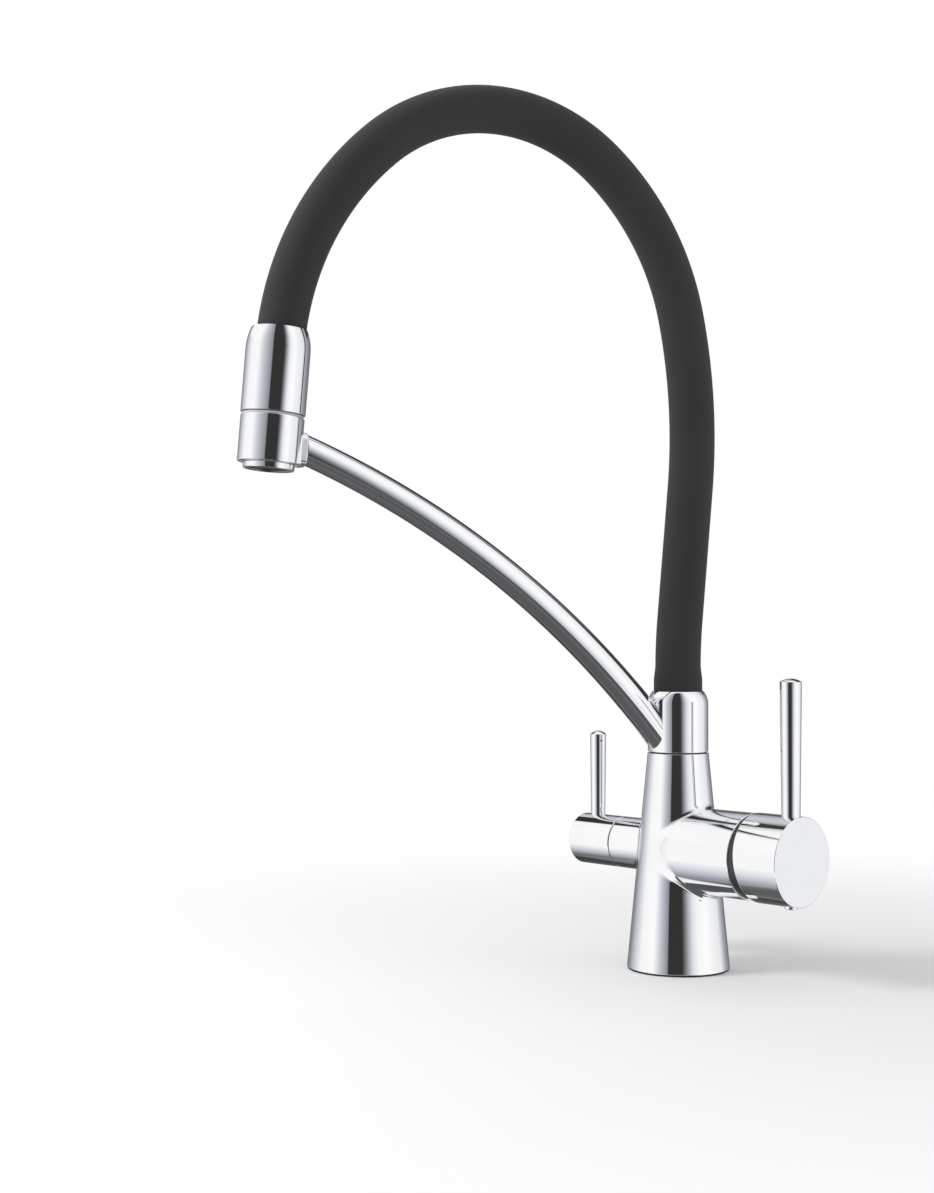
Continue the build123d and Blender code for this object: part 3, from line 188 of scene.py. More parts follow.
# (radius, turn in degrees towards the reach) of each bend; the rise bend's radius is solved
LEAN_BEND = (270.0, -5.2)
SHOULDER_BEND = (290.0, 17.5)
RISE_TURN = 38.7
CROWN_BEND = (91.8, 80.0)
FALL_RADIUS = 148.0
SLEEVE_END_FROM_BALL = 9.0
TUBE_END_PAST_BALL = 8.0

SHANK_RADIUS = 16.5
SHANK_WALL = 1.7
SHANK_SEAT = 9.0
SHANK_BOTTOM = -50.0
THREAD_PITCH = 1.5
THREAD_DEPTH = 0.5
THREAD_SINK = 0.02
# half widths of the thread's ridge at its root and its top
THREAD_FLANK = 0.72
THREAD_CREST = 0.12
NUT_FLATS = 41.0
NUT_TOP = -35.5
NUT_THICKNESS = 9.0
NUT_FACE_INSET = 0.4
NUT_CONE = math.radians(30)
STEEL_THICKNESS = 2.5
RUBBER_THICKNESS = 3.0
WASHER_RADIUS = 27.0
WASHER_BORE = 16.9

SIDES = 160
COLUMN_STEP = math.tau / SIDES
ARC_STEP = math.radians(6)
UP = np.array((0, 0, 1.0))
ACROSS = np.array((0, 1.0, 0))

# ---------------------------------------------------------------------------
# Places: each maps a piece's own frame, in millimetres, to the model's
# ---------------------------------------------------------------------------


def columns(x, y, z, origin):
    """Place from three axes and an origin."""
    place = Matrix((x, y, z)).transposed().to_4x4()
    place.translation = origin
    return place


HERE = Matrix.Identity(4)
# Along a branch: x sideways, y up, z outwards from the column.
mixer_place = columns((0, 1, 0), (0, 0, 1), (1, 0, 0), (0, 0, BRANCH_HEIGHT))
filter_place = columns((0, -1, 0), (0, 0, 1), (-1, 0, 0), (0, 0, BRANCH_HEIGHT))
spout_place = Matrix.Rotation(SPOUT_ANGLE, 4, "Z")
# Head and dock: z is the depth below the head's top, x faces the column.
head_in_spout = Matrix.Translation((HEAD_REACH, 0, HEAD_TOP)) @ Matrix.Rotation(math.pi - HEAD_TILT, 4, "Y")
head_place = spout_place @ head_in_spout

# ---------------------------------------------------------------------------
# Fine meshes with true normals
# ---------------------------------------------------------------------------


def unit(vectors):
    return vectors / np.maximum(np.linalg.norm(vectors, axis=-1, keepdims=True), 1e-12)


def stacked(*parts):
    """Points or directions from their coordinates; a plain number counts for all of them."""
    return np.stack(np.broadcast_arrays(*parts), axis=-1)


def spokes_at(angles, *rest):
    """Unit directions at angles in the first two axes."""
    return stacked(np.cos(angles), np.sin(angles), *rest)


def circle_angles(sides=SIDES):
    return np.arange(sides) * math.tau / sides


def halved(past, low, high):
    """Where a condition on an array starts to hold, between two arrays."""
    for _ in range(50):
        middle = (low + high) / 2
        beyond = past(middle)
        low, high = np.where(beyond, low, middle), np.where(beyond, middle, high)
    return middle


def line_piece(start, end):
    """Straight piece of an outline as points and their outward normals, in (radius, height)."""
    step = unit(np.subtract(end, start))
    normal = np.array((step[1], -step[0]))
    return np.array((start, end), float), np.array((normal, normal))


def arc_piece(start, via, end):
    """Arc piece of an outline through three points."""
    a, b, c = (np.array(p, float) for p in (start, via, end))
    d = 2 * (a[0] * (b[1] - c[1]) + b[0] * (c[1] - a[1]) + c[0] * (a[1] - b[1]))
    squares = [p @ p for p in (a, b, c)]
    centre = np.array((
        squares[0] * (b[1] - c[1]) + squares[1] * (c[1] - a[1]) + squares[2] * (a[1] - b[1]),
        squares[0] * (c[0] - b[0]) + squares[1] * (a[0] - c[0]) + squares[2] * (b[0] - a[0]))) / d
    first, middle, last = (math.atan2(*(p - centre)[::-1]) for p in (a, b, c))
    sweep = (last - first) % math.tau
    if (middle - first) % math.tau > sweep:
        sweep -= math.tau
    count = max(4, math.ceil(abs(sweep) / ARC_STEP)) + 1
    spokes = spokes_at(first + np.linspace(0, sweep, count))
    points = centre + np.linalg.norm(a - centre) * spokes
    points[0], points[-1] = a, c
    return points, spokes * (1 if sweep > 0 else -1)


def outline(*corners, closed=False):
    """Pieces between (radius, height[, rounding]) corners, going up the outside and down the inside.

    A corner given as ("arc", radius, height) bends the piece it stands in through that point."""
    vias, plain = {}, []
    for corner in corners:
        if corner[0] == "arc":
            vias[len(plain) - 1] = corner[1:]
        else:
            plain.append(corner)
    places = [np.array(corner[:2], float) for corner in plain]
    count = len(plain)
    turns = []
    for number, (corner, here) in enumerate(zip(plain, places)):
        start, through, end = here, None, here
        if len(corner) == 3:
            before, after = unit(places[number - 1] - here), unit(places[(number + 1) % count] - here)
            half = math.acos(max(-1, min(1, before @ after))) / 2
            reach, inset = corner[2] / math.tan(half), corner[2] / math.sin(half) - corner[2]
            start, end = here + before * reach, here + after * reach
            through = here + unit(before + after) * inset
        turns.append((start, through, end))
    pieces = []
    for number, (start, through, end) in enumerate(turns):
        if through is not None:
            pieces.append(arc_piece(start, through, end))
        if number == count - 1 and not closed:
            break
        target = turns[(number + 1) % count][0]
        if number in vias:
            pieces.append(arc_piece(end, vias[number], target))
        elif np.linalg.norm(target - end) > 1e-6:
            pieces.append(line_piece(end, target))
    return pieces


def shoulder(full, start, rim, top):
    """Through-point of an arc that leaves a cylinder tangentially and ends at the rim."""
    drop, step = abs(top - start), full - rim
    bend = (drop ** 2 + step ** 2) / (2 * step)
    half = math.asin(drop / bend) / 2
    way = 1 if top > start else -1
    return "arc", full - bend + bend * math.cos(half), start + way * bend * math.sin(half)


def spun(pairs, around):
    """(radius, height) pairs turned to every direction in around, as a grid of 3-D vectors."""
    radius = pairs[:, None, 0]
    return stacked(radius * around[:, 0], radius * around[:, 1], pairs[:, None, 1])


class Skin:
    """Gathers patches of a surface and welds them into one mesh with a true normal at every corner."""

    def __init__(self, place=HERE):
        self.place = place
        self.points, self.quads, self.normals = [], [], []
        self.size = 0

    def patch(self, points, normals, place=HERE, wrap=True, keep=None):
        """Adds a grid of points with its outward normals; wrap joins the last column to the first.

        keep is a mask of the grid's quads."""
        place = self.place @ place
        rows, count = points.shape[:2]
        turn = np.array(place.to_3x3())
        points = points.reshape(-1, 3) @ turn.T + np.array(place.translation)
        normals = unit(np.broadcast_to(normals, (rows, count, 3)).reshape(-1, 3) @ turn.T)
        row, column = np.mgrid[0:rows - 1, 0:count if wrap else count - 1]
        following = (column + 1) % count
        quads = np.stack((
            row * count + column, row * count + following,
            (row + 1) * count + following, (row + 1) * count + column), axis=-1)
        quads = quads.reshape(-1, 4) if keep is None else quads[keep]
        corners = points[quads]
        facing = np.cross(corners[:, 2] - corners[:, 0], corners[:, 3] - corners[:, 1])
        wrong = (facing * normals[quads].sum(axis=1)).sum(axis=1) < 0
        quads[wrong] = quads[wrong][:, ::-1]
        self.points.append(points)
        self.quads.append(quads + self.size)
        self.normals.append(normals[quads])
        self.size += len(points)

    def strip(self, first, second, normals, wrap=False):
        """Adds the surface between two rows of points."""
        self.patch(np.stack((first, second)), normals, wrap=wrap)

    def turned(self, pieces, place=HERE, angles=None):
        """Adds outline pieces turned about the place's z axis."""
        around = spokes_at(circle_angles() if angles is None else angles)
        for points, normals in pieces:
            self.patch(spun(points, around), spun(normals, around), place)

    def end_face(self, radius, end):
        """Adds a flat end with a rounded edge."""
        self.turned(outline((radius, end - 2 * EDGE), (radius, end, EDGE), (0, end))[1:])

    def build(self, name, slot):
        """Makes the object, in metres, with its slot's material."""
        points = np.concatenate(self.points)
        quads = np.concatenate(self.quads)
        normals = np.concatenate(self.normals)
        keys = np.round(points * 1e4).astype(np.int64)
        _, kept, welded = np.unique(keys, axis=0, return_index=True, return_inverse=True)
        quads = welded.reshape(-1)[quads]
        used, renumbered = np.unique(quads, return_inverse=True)
        quads = renumbered.reshape(quads.shape)
        faces, corner_normals = [], []
        for quad, normal in zip(quads.tolist(), normals):
            corners = [k for k in range(4) if quad[k] != quad[k - 1]]
            face = [quad[k] for k in corners]
            if len(set(face)) == len(face) >= 3:
                faces.append(face)
                corner_normals.extend(tuple(normal[k]) for k in corners)
        mesh = bpy.data.meshes.new(name)
        mesh.from_pydata((points[kept][used] * MM).tolist(), [], faces)
        mesh.polygons.foreach_set("use_smooth", [True] * len(mesh.polygons))
        mesh.normals_split_custom_set(corner_normals)
        mesh.materials.append(SLOT_MATERIALS[slot])
        mesh.update()
        piece = bpy.data.objects.new(name, mesh)
        bpy.context.scene.collection.objects.link(piece)
        return piece

    def settle(self, name, body, slot, cad_node):
        """Makes the piece, which rides on its body and stands for its CAD node."""
        piece = self.build(name, slot)
        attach(piece, body)
        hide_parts(cad_node)
        return piece


def turned_piece(name, body, slot, cad_node, pieces, place=HERE):
    skin = Skin()
    skin.turned(pieces, place)
    return skin.settle(name, body, slot, cad_node)


# A window is left out of a lattice: its middle column, half its width in columns, its lowest and highest row.
Window = namedtuple("Window", "middle half bottom top")


def lattice(skin, surface, rows, windows):
    """Adds a surface of (angle, height) that closes round the axis, with windows in it."""
    keep = np.ones((len(rows) - 1, SIDES), bool)
    for window in windows:
        in_rows = (rows[:-1] > window.bottom - 1e-6) & (rows[1:] < window.top + 1e-6)
        in_columns = (np.arange(SIDES) - window.middle + window.half) % SIDES < 2 * window.half
        keep &= ~np.outer(in_rows, in_columns)
    skin.patch(*surface(*np.meshgrid(circle_angles(), rows)), keep=keep)


def window_edge(rows, window):
    """Angles from the window's middle, and heights, of the lattice points round a window."""
    heights = rows[(rows > window.bottom - 1e-6) & (rows < window.top + 1e-6)]
    across = np.arange(-window.half, window.half + 1) * COLUMN_STEP
    wide, tall = np.ones_like(across), np.ones(len(heights) - 2)
    angle = np.concatenate((across, tall * across[-1], across[::-1], tall * across[0]))
    height = np.concatenate((wide * heights[0], heights[1:-1], wide * heights[-1], heights[1:-1][::-1]))
    return angle, height


def drilled_side(skin, radius, below, above, column, half, height, depth):
    """Cylinder between rows of heights below and above a blind screw hole in the middle of a window."""
    window = Window(column, half, height - HOLE_FRAME, height + HOLE_FRAME)
    rows = np.concatenate((below, np.linspace(window.bottom, window.top, 2 * half + 1), above))

    def surface(angle, level):
        return stacked(radius * np.cos(angle), radius * np.sin(angle), level), spokes_at(angle, 0)

    lattice(skin, surface, rows, (window,))
    middle = column * COLUMN_STEP
    angle, level = window_edge(rows, window)
    turn = np.arctan2(level - height, radius * angle)
    sideways = SCREW_RADIUS * np.cos(turn)
    rim_angle, rim_level = np.arcsin(sideways / radius), height + SCREW_RADIUS * np.sin(turn)
    share = np.linspace(0, 1, 6)[:, None]
    skin.patch(*surface(middle + angle + (rim_angle - angle) * share, level + (rim_level - level) * share))
    out = spokes_at(middle, 0)
    side = np.array((-math.sin(middle), math.cos(middle), 0))
    ends = np.stack((np.sqrt(radius ** 2 - sideways ** 2), np.full_like(turn, radius - depth)))
    wall = ends[..., None] * out + sideways[:, None] * side + rim_level[:, None] * UP
    skin.patch(wall, -(np.cos(turn)[:, None] * side + np.sin(turn)[:, None] * UP))


# ---------------------------------------------------------------------------
# Materials
# ---------------------------------------------------------------------------


class Nodes:
    """The nodes of a material or world, with short calls for what they work out."""

    def __init__(self, owner):
        owner.use_nodes = True
        self.tree = owner.node_tree

    def add(self, kind, **settings):
        """New node, with its sockets and settings by name."""
        made = self.tree.nodes.new("ShaderNode" + kind)
        for key, value in settings.items():
            if key in made.inputs:
                made.inputs[key].default_value = value
            else:
                setattr(made, key, value)
        return made

    def link(self, output, socket):
        self.tree.links.new(output, socket)

    def noise(self, scale, detail=3.0, roughness=0.5, stretch=(1, 1, 1)):
        """Noise in the model's own metres, so that its grain has a real size."""
        place, mapping = self.add("TexCoord"), self.add("Mapping", Scale=stretch)
        grain = self.add("TexNoise", Scale=scale, Detail=detail, Roughness=roughness)
        self.link(place.outputs["Object"], mapping.inputs["Vector"])
        self.link(mapping.outputs["Vector"], grain.inputs["Vector"])
        return grain.outputs["Fac"]

    def mapped(self, value, *numbers, **settings):
        """Maps the first two numbers onto the last two."""
        span = self.add("MapRange", **settings)
        for name, number in zip(("From Min", "From Max", "To Min", "To Max"), numbers):
            span.inputs[name].default_value = number
        self.link(value, span.inputs["Value"])
        return span.outputs["Result"]

    def smooth(self, value, low, high, start=0.0, end=1.0):
        """Goes smoothly from start at low to end at high."""
        return self.mapped(value, low, high, start, end, interpolation_type="SMOOTHSTEP")

    def tinted(self, grain, first, second, start=0.35, end=0.65):
        """Colour that wanders between two tints with a noise."""
        ramp = self.add("ValToRGB")
        for element, place, tint in zip(ramp.color_ramp.elements, (start, end), (first, second)):
            element.position, element.color = place, (*tint, 1)
        self.link(grain, ramp.inputs["Fac"])
        return ramp.outputs["Color"]

    def bumped(self, surface, grain, strength, distance=0.0002):
        bump = self.add("Bump", Strength=strength, Distance=distance)
        self.link(grain, bump.inputs["Height"])
        self.link(bump.outputs["Normal"], surface.inputs["Normal"])

    def maths(self, operation, *values):
        """Result of an operation; each value is a number or another node's output."""
        made = self.add("Math", operation=operation)
        for socket, value in zip(made.inputs, values):
            if isinstance(value, (int, float)):
                socket.default_value = value
            else:
                self.link(value, socket)
        return made.outputs["Value"]

    def product(self, first, *others):
        for other in others:
            first = self.maths("MULTIPLY", first, other)
        return first

    def between(self, value, rise, fall):
        """1 between the end of the rise and the start of the fall, 0 outside both."""
        return self.product(self.smooth(value, *rise), self.smooth(value, fall[1], fall[0]))

    def brightness(self, value, stops):
        """Grey of each (place, linear brightness) stop along value, faintly blue in the mid tones."""
        low, high = stops[0][0], stops[-1][0]
        factor = self.maths("DIVIDE", self.maths("SUBTRACT", value, low), high - low)
        ramp = self.add("ValToRGB")
        elements = ramp.color_ramp.elements
        elements.remove(elements[-1])
        for number, (place, bright) in enumerate(stops):
            position = (place - low) / (high - low)
            element = elements.new(position) if number else elements[0]
            element.position = position
            blue = 0.5 * bright * max(0, 1 - bright)
            element.color = (bright * (1 - blue), bright * (1 - 0.7 * blue), bright, 1)
        self.link(factor, ramp.inputs["Fac"])
        return ramp.outputs["Color"]

    def axes(self, output="Object", heading=0.0):
        """X, Y and Z of a texture coordinate, turned back by a heading."""
        place = self.add("TexCoord").outputs[output]
        if heading:
            turn = self.add("Mapping", Rotation=(0, 0, -heading))
            self.link(place, turn.inputs["Vector"])
            place = turn.outputs["Vector"]
        split = self.add("SeparateXYZ")
        self.link(place, split.inputs["Vector"])
        return split.outputs["X"], split.outputs["Y"], split.outputs["Z"]

    def mixed(self, share, first, second):
        """Colour between two colours; a number is a faintly blue grey."""
        mix = self.add("Mix", data_type="RGBA")
        self.link(share, mix.inputs["Factor"])
        for socket, colour in ((mix.inputs[6], first), (mix.inputs[7], second)):
            if isinstance(colour, (int, float)):
                socket.default_value = (colour, colour * 1.02, colour * 1.06, 1)
            else:
                self.link(colour, socket)
        return mix.outputs[2]

    def mixed_shaders(self, share, first, second):
        """Shader between two shaders' outputs."""
        mix = self.add("MixShader")
        for output, socket in zip((share, first, second), mix.inputs):
            self.link(output, socket)
        return mix.outputs["Shader"]


def new_material(name, **sockets):
    """Material, its nodes and its shader, with constants for the shader's sockets by name."""
    material = bpy.data.materials.new(name)
    nodes = Nodes(material)
    surface = nodes.tree.nodes["Principled BSDF"]
    for socket, value in sockets.items():
        surface.inputs[socket.replace("_", " ")].default_value = value
    return material, nodes, surface


def grained(name, first, second, rough, grain, bump, **sockets):
    """Material whose tint, roughness and bump follow one grain."""
    material, nodes, surface = new_material(name, **sockets)
    source = nodes.noise(*grain)
    nodes.link(nodes.tinted(source, first, second), surface.inputs["Base Color"])
    nodes.link(nodes.mapped(source, 0.35, 0.65, *rough), surface.inputs["Roughness"])
    if bump:
        nodes.bumped(surface, source, bump)
    return material


def metal(name, first, second, rough, scale, bump, stretch):
    return grained(name, first, second, rough, (scale, 4.0, 0.55, stretch), bump, Metallic=1.0)


def plastic(name, first, second, rough, scale, bump, gloss=0.5):
    return grained(name, first, second, rough, (scale, 5.0, 0.6), bump, Specular_IOR_Level=gloss)


def hose_material():
    """Smooth charcoal silicone with a very fine grain and a soft bloom."""
    material, nodes, surface = new_material(
        "charcoal_silicone", Specular_IOR_Level=0.22, Sheen_Weight=0.06, Sheen_Roughness=0.5)
    colour = nodes.tinted(nodes.noise(14.0), (0.026, 0.026, 0.027), (0.031, 0.031, 0.032), 0.3, 0.7)
    nodes.link(colour, surface.inputs["Base Color"])
    grain = nodes.noise(2600.0, 2.0)
    nodes.link(nodes.mapped(grain, 0.35, 0.65, 0.62, 0.74), surface.inputs["Roughness"])
    nodes.bumped(surface, grain, 0.12, 0.0001)
    return material


SLOT_MATERIALS = {
    # bright chrome plate: a clean mirror with a trace of polishing haze
    "chrome": grained(
        "polished_chrome", (0.90, 0.905, 0.915), (0.93, 0.93, 0.935), (0.025, 0.045), (45.0,), 0.0,
        Metallic=1.0),
    "black_hose": hose_material(),
    "steel": metal(
        "turned_steel", (0.46, 0.46, 0.47), (0.60, 0.60, 0.60), (0.22, 0.38), 900.0, 0.15, (1, 1, 0.05)),
    "brass": metal(
        "machined_brass", (0.62, 0.46, 0.22), (0.75, 0.58, 0.31), (0.24, 0.40), 500.0, 0.2, (1, 1, 0.1)),
    "rubber": plastic(
        "moulded_rubber", (0.018, 0.018, 0.019), (0.032, 0.032, 0.033), (0.70, 0.90), 1400.0, 0.25, 0.25),
    "ceramic": plastic(
        "lapped_ceramic", (0.80, 0.77, 0.70), (0.86, 0.84, 0.78), (0.12, 0.25), 700.0, 0.05),
    "white_plastic": plastic(
        "white_acetal", (0.68, 0.68, 0.66), (0.76, 0.76, 0.74), (0.38, 0.52), 1100.0, 0.1),
    # also put on the cartridge hood and the swivel bush, where this dark grey is painted shade for their gaps
    "grey_plastic": plastic(
        "grey_plastic", (0.028, 0.029, 0.031), (0.044, 0.045, 0.048), (0.34, 0.48), 1100.0, 0.12),
    "dock_plastic": plastic(
        "pale_liner_plastic", (0.44, 0.445, 0.465), (0.52, 0.525, 0.545), (0.22, 0.34), 900.0, 0.06),
    "water_hose": plastic(
        "water_hose", (0.50, 0.52, 0.54), (0.62, 0.64, 0.66), (0.40, 0.55), 800.0, 0.15),
}


def dress_cad_nodes():
    """Gives each CAD node its slot's material."""
    for part in frame["record"]["subparts"]:
        shown = frame["nodes"][part["node"]]
        shown.data.materials.clear()
        shown.data.materials.append(SLOT_MATERIALS[part["material_slot"]])


# ---------------------------------------------------------------------------
# Column casting
# ---------------------------------------------------------------------------

CONE_SLOPE = (FOOT_RADIUS - COLUMN_TOP_RADIUS) / (COLUMN_TOP - FOOT_UNDERSIDE)
CONE_COSINE = 1 / math.hypot(1, CONE_SLOPE)


def cone_radius(height):
    return FOOT_RADIUS - CONE_SLOPE * (height - FOOT_UNDERSIDE)


def cone_surface(angle, height):
    """Points and normals of the column's side at arrays of angles and heights."""
    radius = cone_radius(height)
    points = stacked(radius * np.cos(angle), radius * np.sin(angle), height)
    return points, spokes_at(angle, CONE_SLOPE) * CONE_COSINE


def mixer_branch_radius(along):
    """Branch radius and its slope: it swells on one arc from its root, then stays round."""
    step = MIXER_BRANCH_RADIUS - MIXER_ROOT_RADIUS
    bend = (MIXER_ROOT_LENGTH ** 2 + step ** 2) / (2 * step)
    left = np.maximum(MIXER_ROOT_LENGTH - along, 0)
    depth = np.sqrt(bend ** 2 - left ** 2)
    return MIXER_BRANCH_RADIUS - bend + depth, left / depth


def plain_radius(radius):
    """Radius and slope along a straight round piece."""
    def radius_at(along):
        return np.full_like(along, radius), np.zeros_like(along)
    return radius_at


def branch_skin(skin, window, rows, place, radius_at, end, bores, side_blend=BLEND_RADIUS):
    """One branch with its rolling-ball blend into the column, welded to the column's lattice.

    side_blend is the ball's radius in front and behind, where a wide branch meets the column almost flush."""
    middle = window.middle * COLUMN_STEP
    edge_angle, edge_height = window_edge(rows, window)
    turn = np.arctan2(edge_height - BRANCH_HEIGHT, edge_angle * cone_radius(BRANCH_HEIGHT))
    across, up, outwards = np.array(place.to_3x3()).T
    spokes = np.outer(np.cos(turn), across) + np.outer(np.sin(turn), up)
    origin = np.array(place.translation)
    blend = BLEND_RADIUS + (side_blend - BLEND_RADIUS) * np.cos(turn) ** SIDE_BLEND_POWER

    def ball(along):
        """Centre of the blending ball that touches the branch this far along it, and the normal there."""
        radius, slope = radius_at(along)
        normal = unit(spokes - slope[:, None] * outwards)
        return origin + along[:, None] * outwards + radius[:, None] * spokes + blend[:, None] * normal, normal

    def clear(along):
        centre, _ = ball(along)
        return (np.hypot(centre[:, 0], centre[:, 1]) - cone_radius(centre[:, 2])) * CONE_COSINE >= blend

    along = halved(clear, np.zeros(len(turn)), np.full(len(turn), end))
    centre, branch_normal = ball(along)
    contact_angle = np.arctan2(centre[:, 1], centre[:, 0])
    cone_normal = cone_surface(contact_angle, centre[:, 2])[1]
    contact_height = (centre - blend[:, None] * cone_normal)[:, 2]
    offset = (contact_angle - middle + math.pi) % math.tau - math.pi
    # column side, from the lattice's window to the blend
    share = np.linspace(0, 1, 13)[:, None]
    skin.patch(*cone_surface(
        middle + edge_angle + (offset - edge_angle) * share,
        edge_height + (contact_height - edge_height) * share))
    # blend
    opening = np.arccos(np.clip((cone_normal * branch_normal).sum(axis=1), -1, 1))[:, None]
    share = np.linspace(0, 1, 17)[:, None, None]
    sweep = np.sin((1 - share) * opening) * cone_normal + np.sin(share * opening) * branch_normal
    sweep /= np.sin(opening)
    points = centre - blend[:, None] * sweep
    normals = unit(np.cross(
        np.gradient(points, axis=0), np.roll(points, -1, axis=1) - np.roll(points, 1, axis=1)))
    normals *= np.sign((normals * sweep).sum(axis=2, keepdims=True))
    normals[0], normals[-1] = cone_normal, branch_normal
    skin.patch(points, normals)
    # branch
    share = np.linspace(0, 1, 25)[:, None]
    ways = along + (end - EDGE - along) * share
    radius, slope = radius_at(ways)
    points = origin + ways[..., None] * outwards + radius[..., None] * spokes
    skin.patch(points, spokes - slope[..., None] * outwards)
    full = radius[-1, 0]
    (wide, step), (narrow, bottom) = bores
    skin.turned(outline(
        (full, end - 2 * EDGE), (full, end, EDGE), (wide, end), (wide, step), (narrow, step),
        (narrow, bottom), (0, bottom))[1:], place, turn)


def column_casting():
    skin = Skin()
    rows = np.concatenate((
        np.linspace(FOOT_UNDERSIDE + 1.0, 30.0, 9), np.arange(31.0, 92.5, 1.0),
        np.linspace(93.0, COLUMN_TOP - 0.6, 5)))
    mixer_window = Window(0, round(SIDES * 0.28), 32.0, 90.0)
    filter_window = Window(SIDES // 2, round(SIDES * 0.17), 40.0, 82.0)
    lattice(skin, cone_surface, rows, (mixer_window, filter_window))
    branch_skin(
        skin, mixer_window, rows, mixer_place, mixer_branch_radius, MIXER_BRANCH_END, MIXER_BORES,
        MIXER_SIDE_BLEND)
    branch_skin(
        skin, filter_window, rows, filter_place, plain_radius(FILTER_BRANCH_RADIUS), FILTER_BRANCH_END,
        FILTER_BORES)
    low, high = rows[0], rows[-1]
    skin.turned(outline(
        (0, SHANK_SEAT), (SHANK_RADIUS, SHANK_SEAT), (SHANK_RADIUS, 0), (GASKET_BORE, 0),
        (GASKET_BORE, FOOT_UNDERSIDE), (FOOT_RADIUS, FOOT_UNDERSIDE, EDGE), (cone_radius(low), low)))
    skin.turned(outline(
        (cone_radius(high), high), (COLUMN_TOP_RADIUS, COLUMN_TOP, EDGE),
        (SPIGOT_RADIUS, COLUMN_TOP), (SPIGOT_RADIUS, SPIGOT_TOP), (0, SPIGOT_TOP)))
    skin.settle("column_casting", "body", "chrome", "tap_body")


# ---------------------------------------------------------------------------
# Mixer and filter sides
# ---------------------------------------------------------------------------


def mixer_knob():
    """Round knob whose rear edge is cut askew, hollowed by a ball to rock over the hood."""
    skin = Skin(mixer_place)
    around = spokes_at(circle_angles())
    across, up = around.T
    radius = MIXER_KNOB_RADIUS
    rear_middle = MIXER_BRANCH_END + (MIXER_GAP_TOP + MIXER_GAP_BOTTOM) / 2
    lean = (MIXER_GAP_TOP - MIXER_GAP_BOTTOM) / (2 * radius)
    rear_normal = unit(np.array((0, lean, -1.0)))
    spokes = stacked(across, up, 0)

    def rear(wide):
        """Points of the rear plane at a radius for every direction."""
        return stacked(wide * across, wide * up, rear_middle + lean * wide * up)

    def ball(wide):
        """Points of the cavity, from its middle."""
        return stacked(wide * across, wide * up, np.sqrt(KNOB_CAVITY_RADIUS ** 2 - wide ** 2))

    inner = rear(radius - EDGE) + EDGE * UP
    skin.strip(inner + EDGE * spokes, radius * spokes + (MIXER_KNOB_END - EDGE) * UP, spokes, wrap=True)
    share = np.linspace(0, math.pi / 2, 7)[:, None, None]
    edge = unit(np.cos(share) * spokes + np.sin(share) * rear_normal)
    skin.patch(inner + EDGE * edge, edge)
    # rear face, in to where the cavity meets it
    mouth = halved(
        lambda wide: TILT_PIVOT + ball(wide)[:, 2] <= rear(wide)[:, 2],
        np.zeros_like(up), np.full_like(up, KNOB_CAVITY_RADIUS - 0.01))
    skin.strip(inner + EDGE * rear_normal, rear(mouth), rear_normal, wrap=True)
    hollow = ball(mouth * np.linspace(1, 0, 16)[:, None])
    skin.patch(hollow + TILT_PIVOT * UP, -hollow)
    skin.end_face(radius, MIXER_KNOB_END)
    skin.settle("mixer_knob_shell", "mixer_handle", "chrome", "mixer_knob")


def lever(name, along, seat, top, radii, dome, body, cad_node):
    """Upright lever, this far along the branches' axis, standing on a round knob of radius seat."""
    skin = Skin(Matrix.Translation((along, 0, BRANCH_HEIGHT)))
    angles = circle_angles(96)
    foot_radius, top_radius = radii
    top = top - BRANCH_HEIGHT
    reach = top - dome
    slope = (top_radius - foot_radius) / (reach - seat)
    # the foot follows the knob, whose axis runs along x
    foot = np.sqrt(seat ** 2 - (foot_radius * np.sin(angles)) ** 2) - LEVER_SINK
    heights = foot + (reach - foot) * np.linspace(0, 1, 20)[:, None]
    radius = foot_radius + slope * (heights - seat)
    skin.patch(stacked(radius * np.cos(angles), radius * np.sin(angles), heights), spokes_at(angles, -slope))
    bend = (top_radius ** 2 + dome ** 2) / (2 * dome)
    half = math.asin(top_radius / bend) / 2
    skin.turned(outline(
        (top_radius, reach - 0.001), (top_radius, reach),
        ("arc", bend * math.sin(half), top - bend + bend * math.cos(half)), (0, top))[1:], angles=angles)
    skin.settle(name, body, "chrome", cad_node)


def levers():
    lever("mixer_lever_rod", MIXER_LEVER_PLACE, MIXER_KNOB_RADIUS, MIXER_LEVER_TOP,
          MIXER_LEVER_RADII, MIXER_LEVER_DOME, "mixer_handle", "mixer_lever")
    lever("filter_lever_rod", -FILTER_LEVER_PLACE, FILTER_BRANCH_RADIUS, FILTER_LEVER_TOP,
          FILTER_LEVER_RADII, FILTER_LEVER_DOME, "filter_handle", "filter_lever")


def hood():
    """Domed cover that shows in the gap behind the mixer knob, made dark grey plastic here in place of chrome:
    painted shade for the dark gap.
    """
    inside, end = HOOD_RADIUS - HOOD_WALL, MIXER_BRANCH_END

    def at(radius, wide):
        return wide, TILT_PIVOT + math.sqrt(radius ** 2 - wide ** 2)

    def foot(radius):
        return math.sqrt(radius ** 2 - (end - TILT_PIVOT) ** 2), end

    # dark grey plastic instead of chrome: painted shade in the gap behind the knob
    turned_piece("cartridge_hood_dome", "body", "grey_plastic", "cartridge_hood", outline(
        (MIXER_BORE, end - HOOD_SKIRT), (MIXER_BORE, end), foot(HOOD_RADIUS),
        ("arc", *at(HOOD_RADIUS, HOOD_MIDDLE)), at(HOOD_RADIUS, HOOD_OPENING), at(inside, HOOD_OPENING),
        ("arc", *at(inside, HOOD_MIDDLE)), foot(inside), (HOOD_SKIRT_BORE, end),
        (HOOD_SKIRT_BORE, end - HOOD_SKIRT), closed=True), mixer_place)


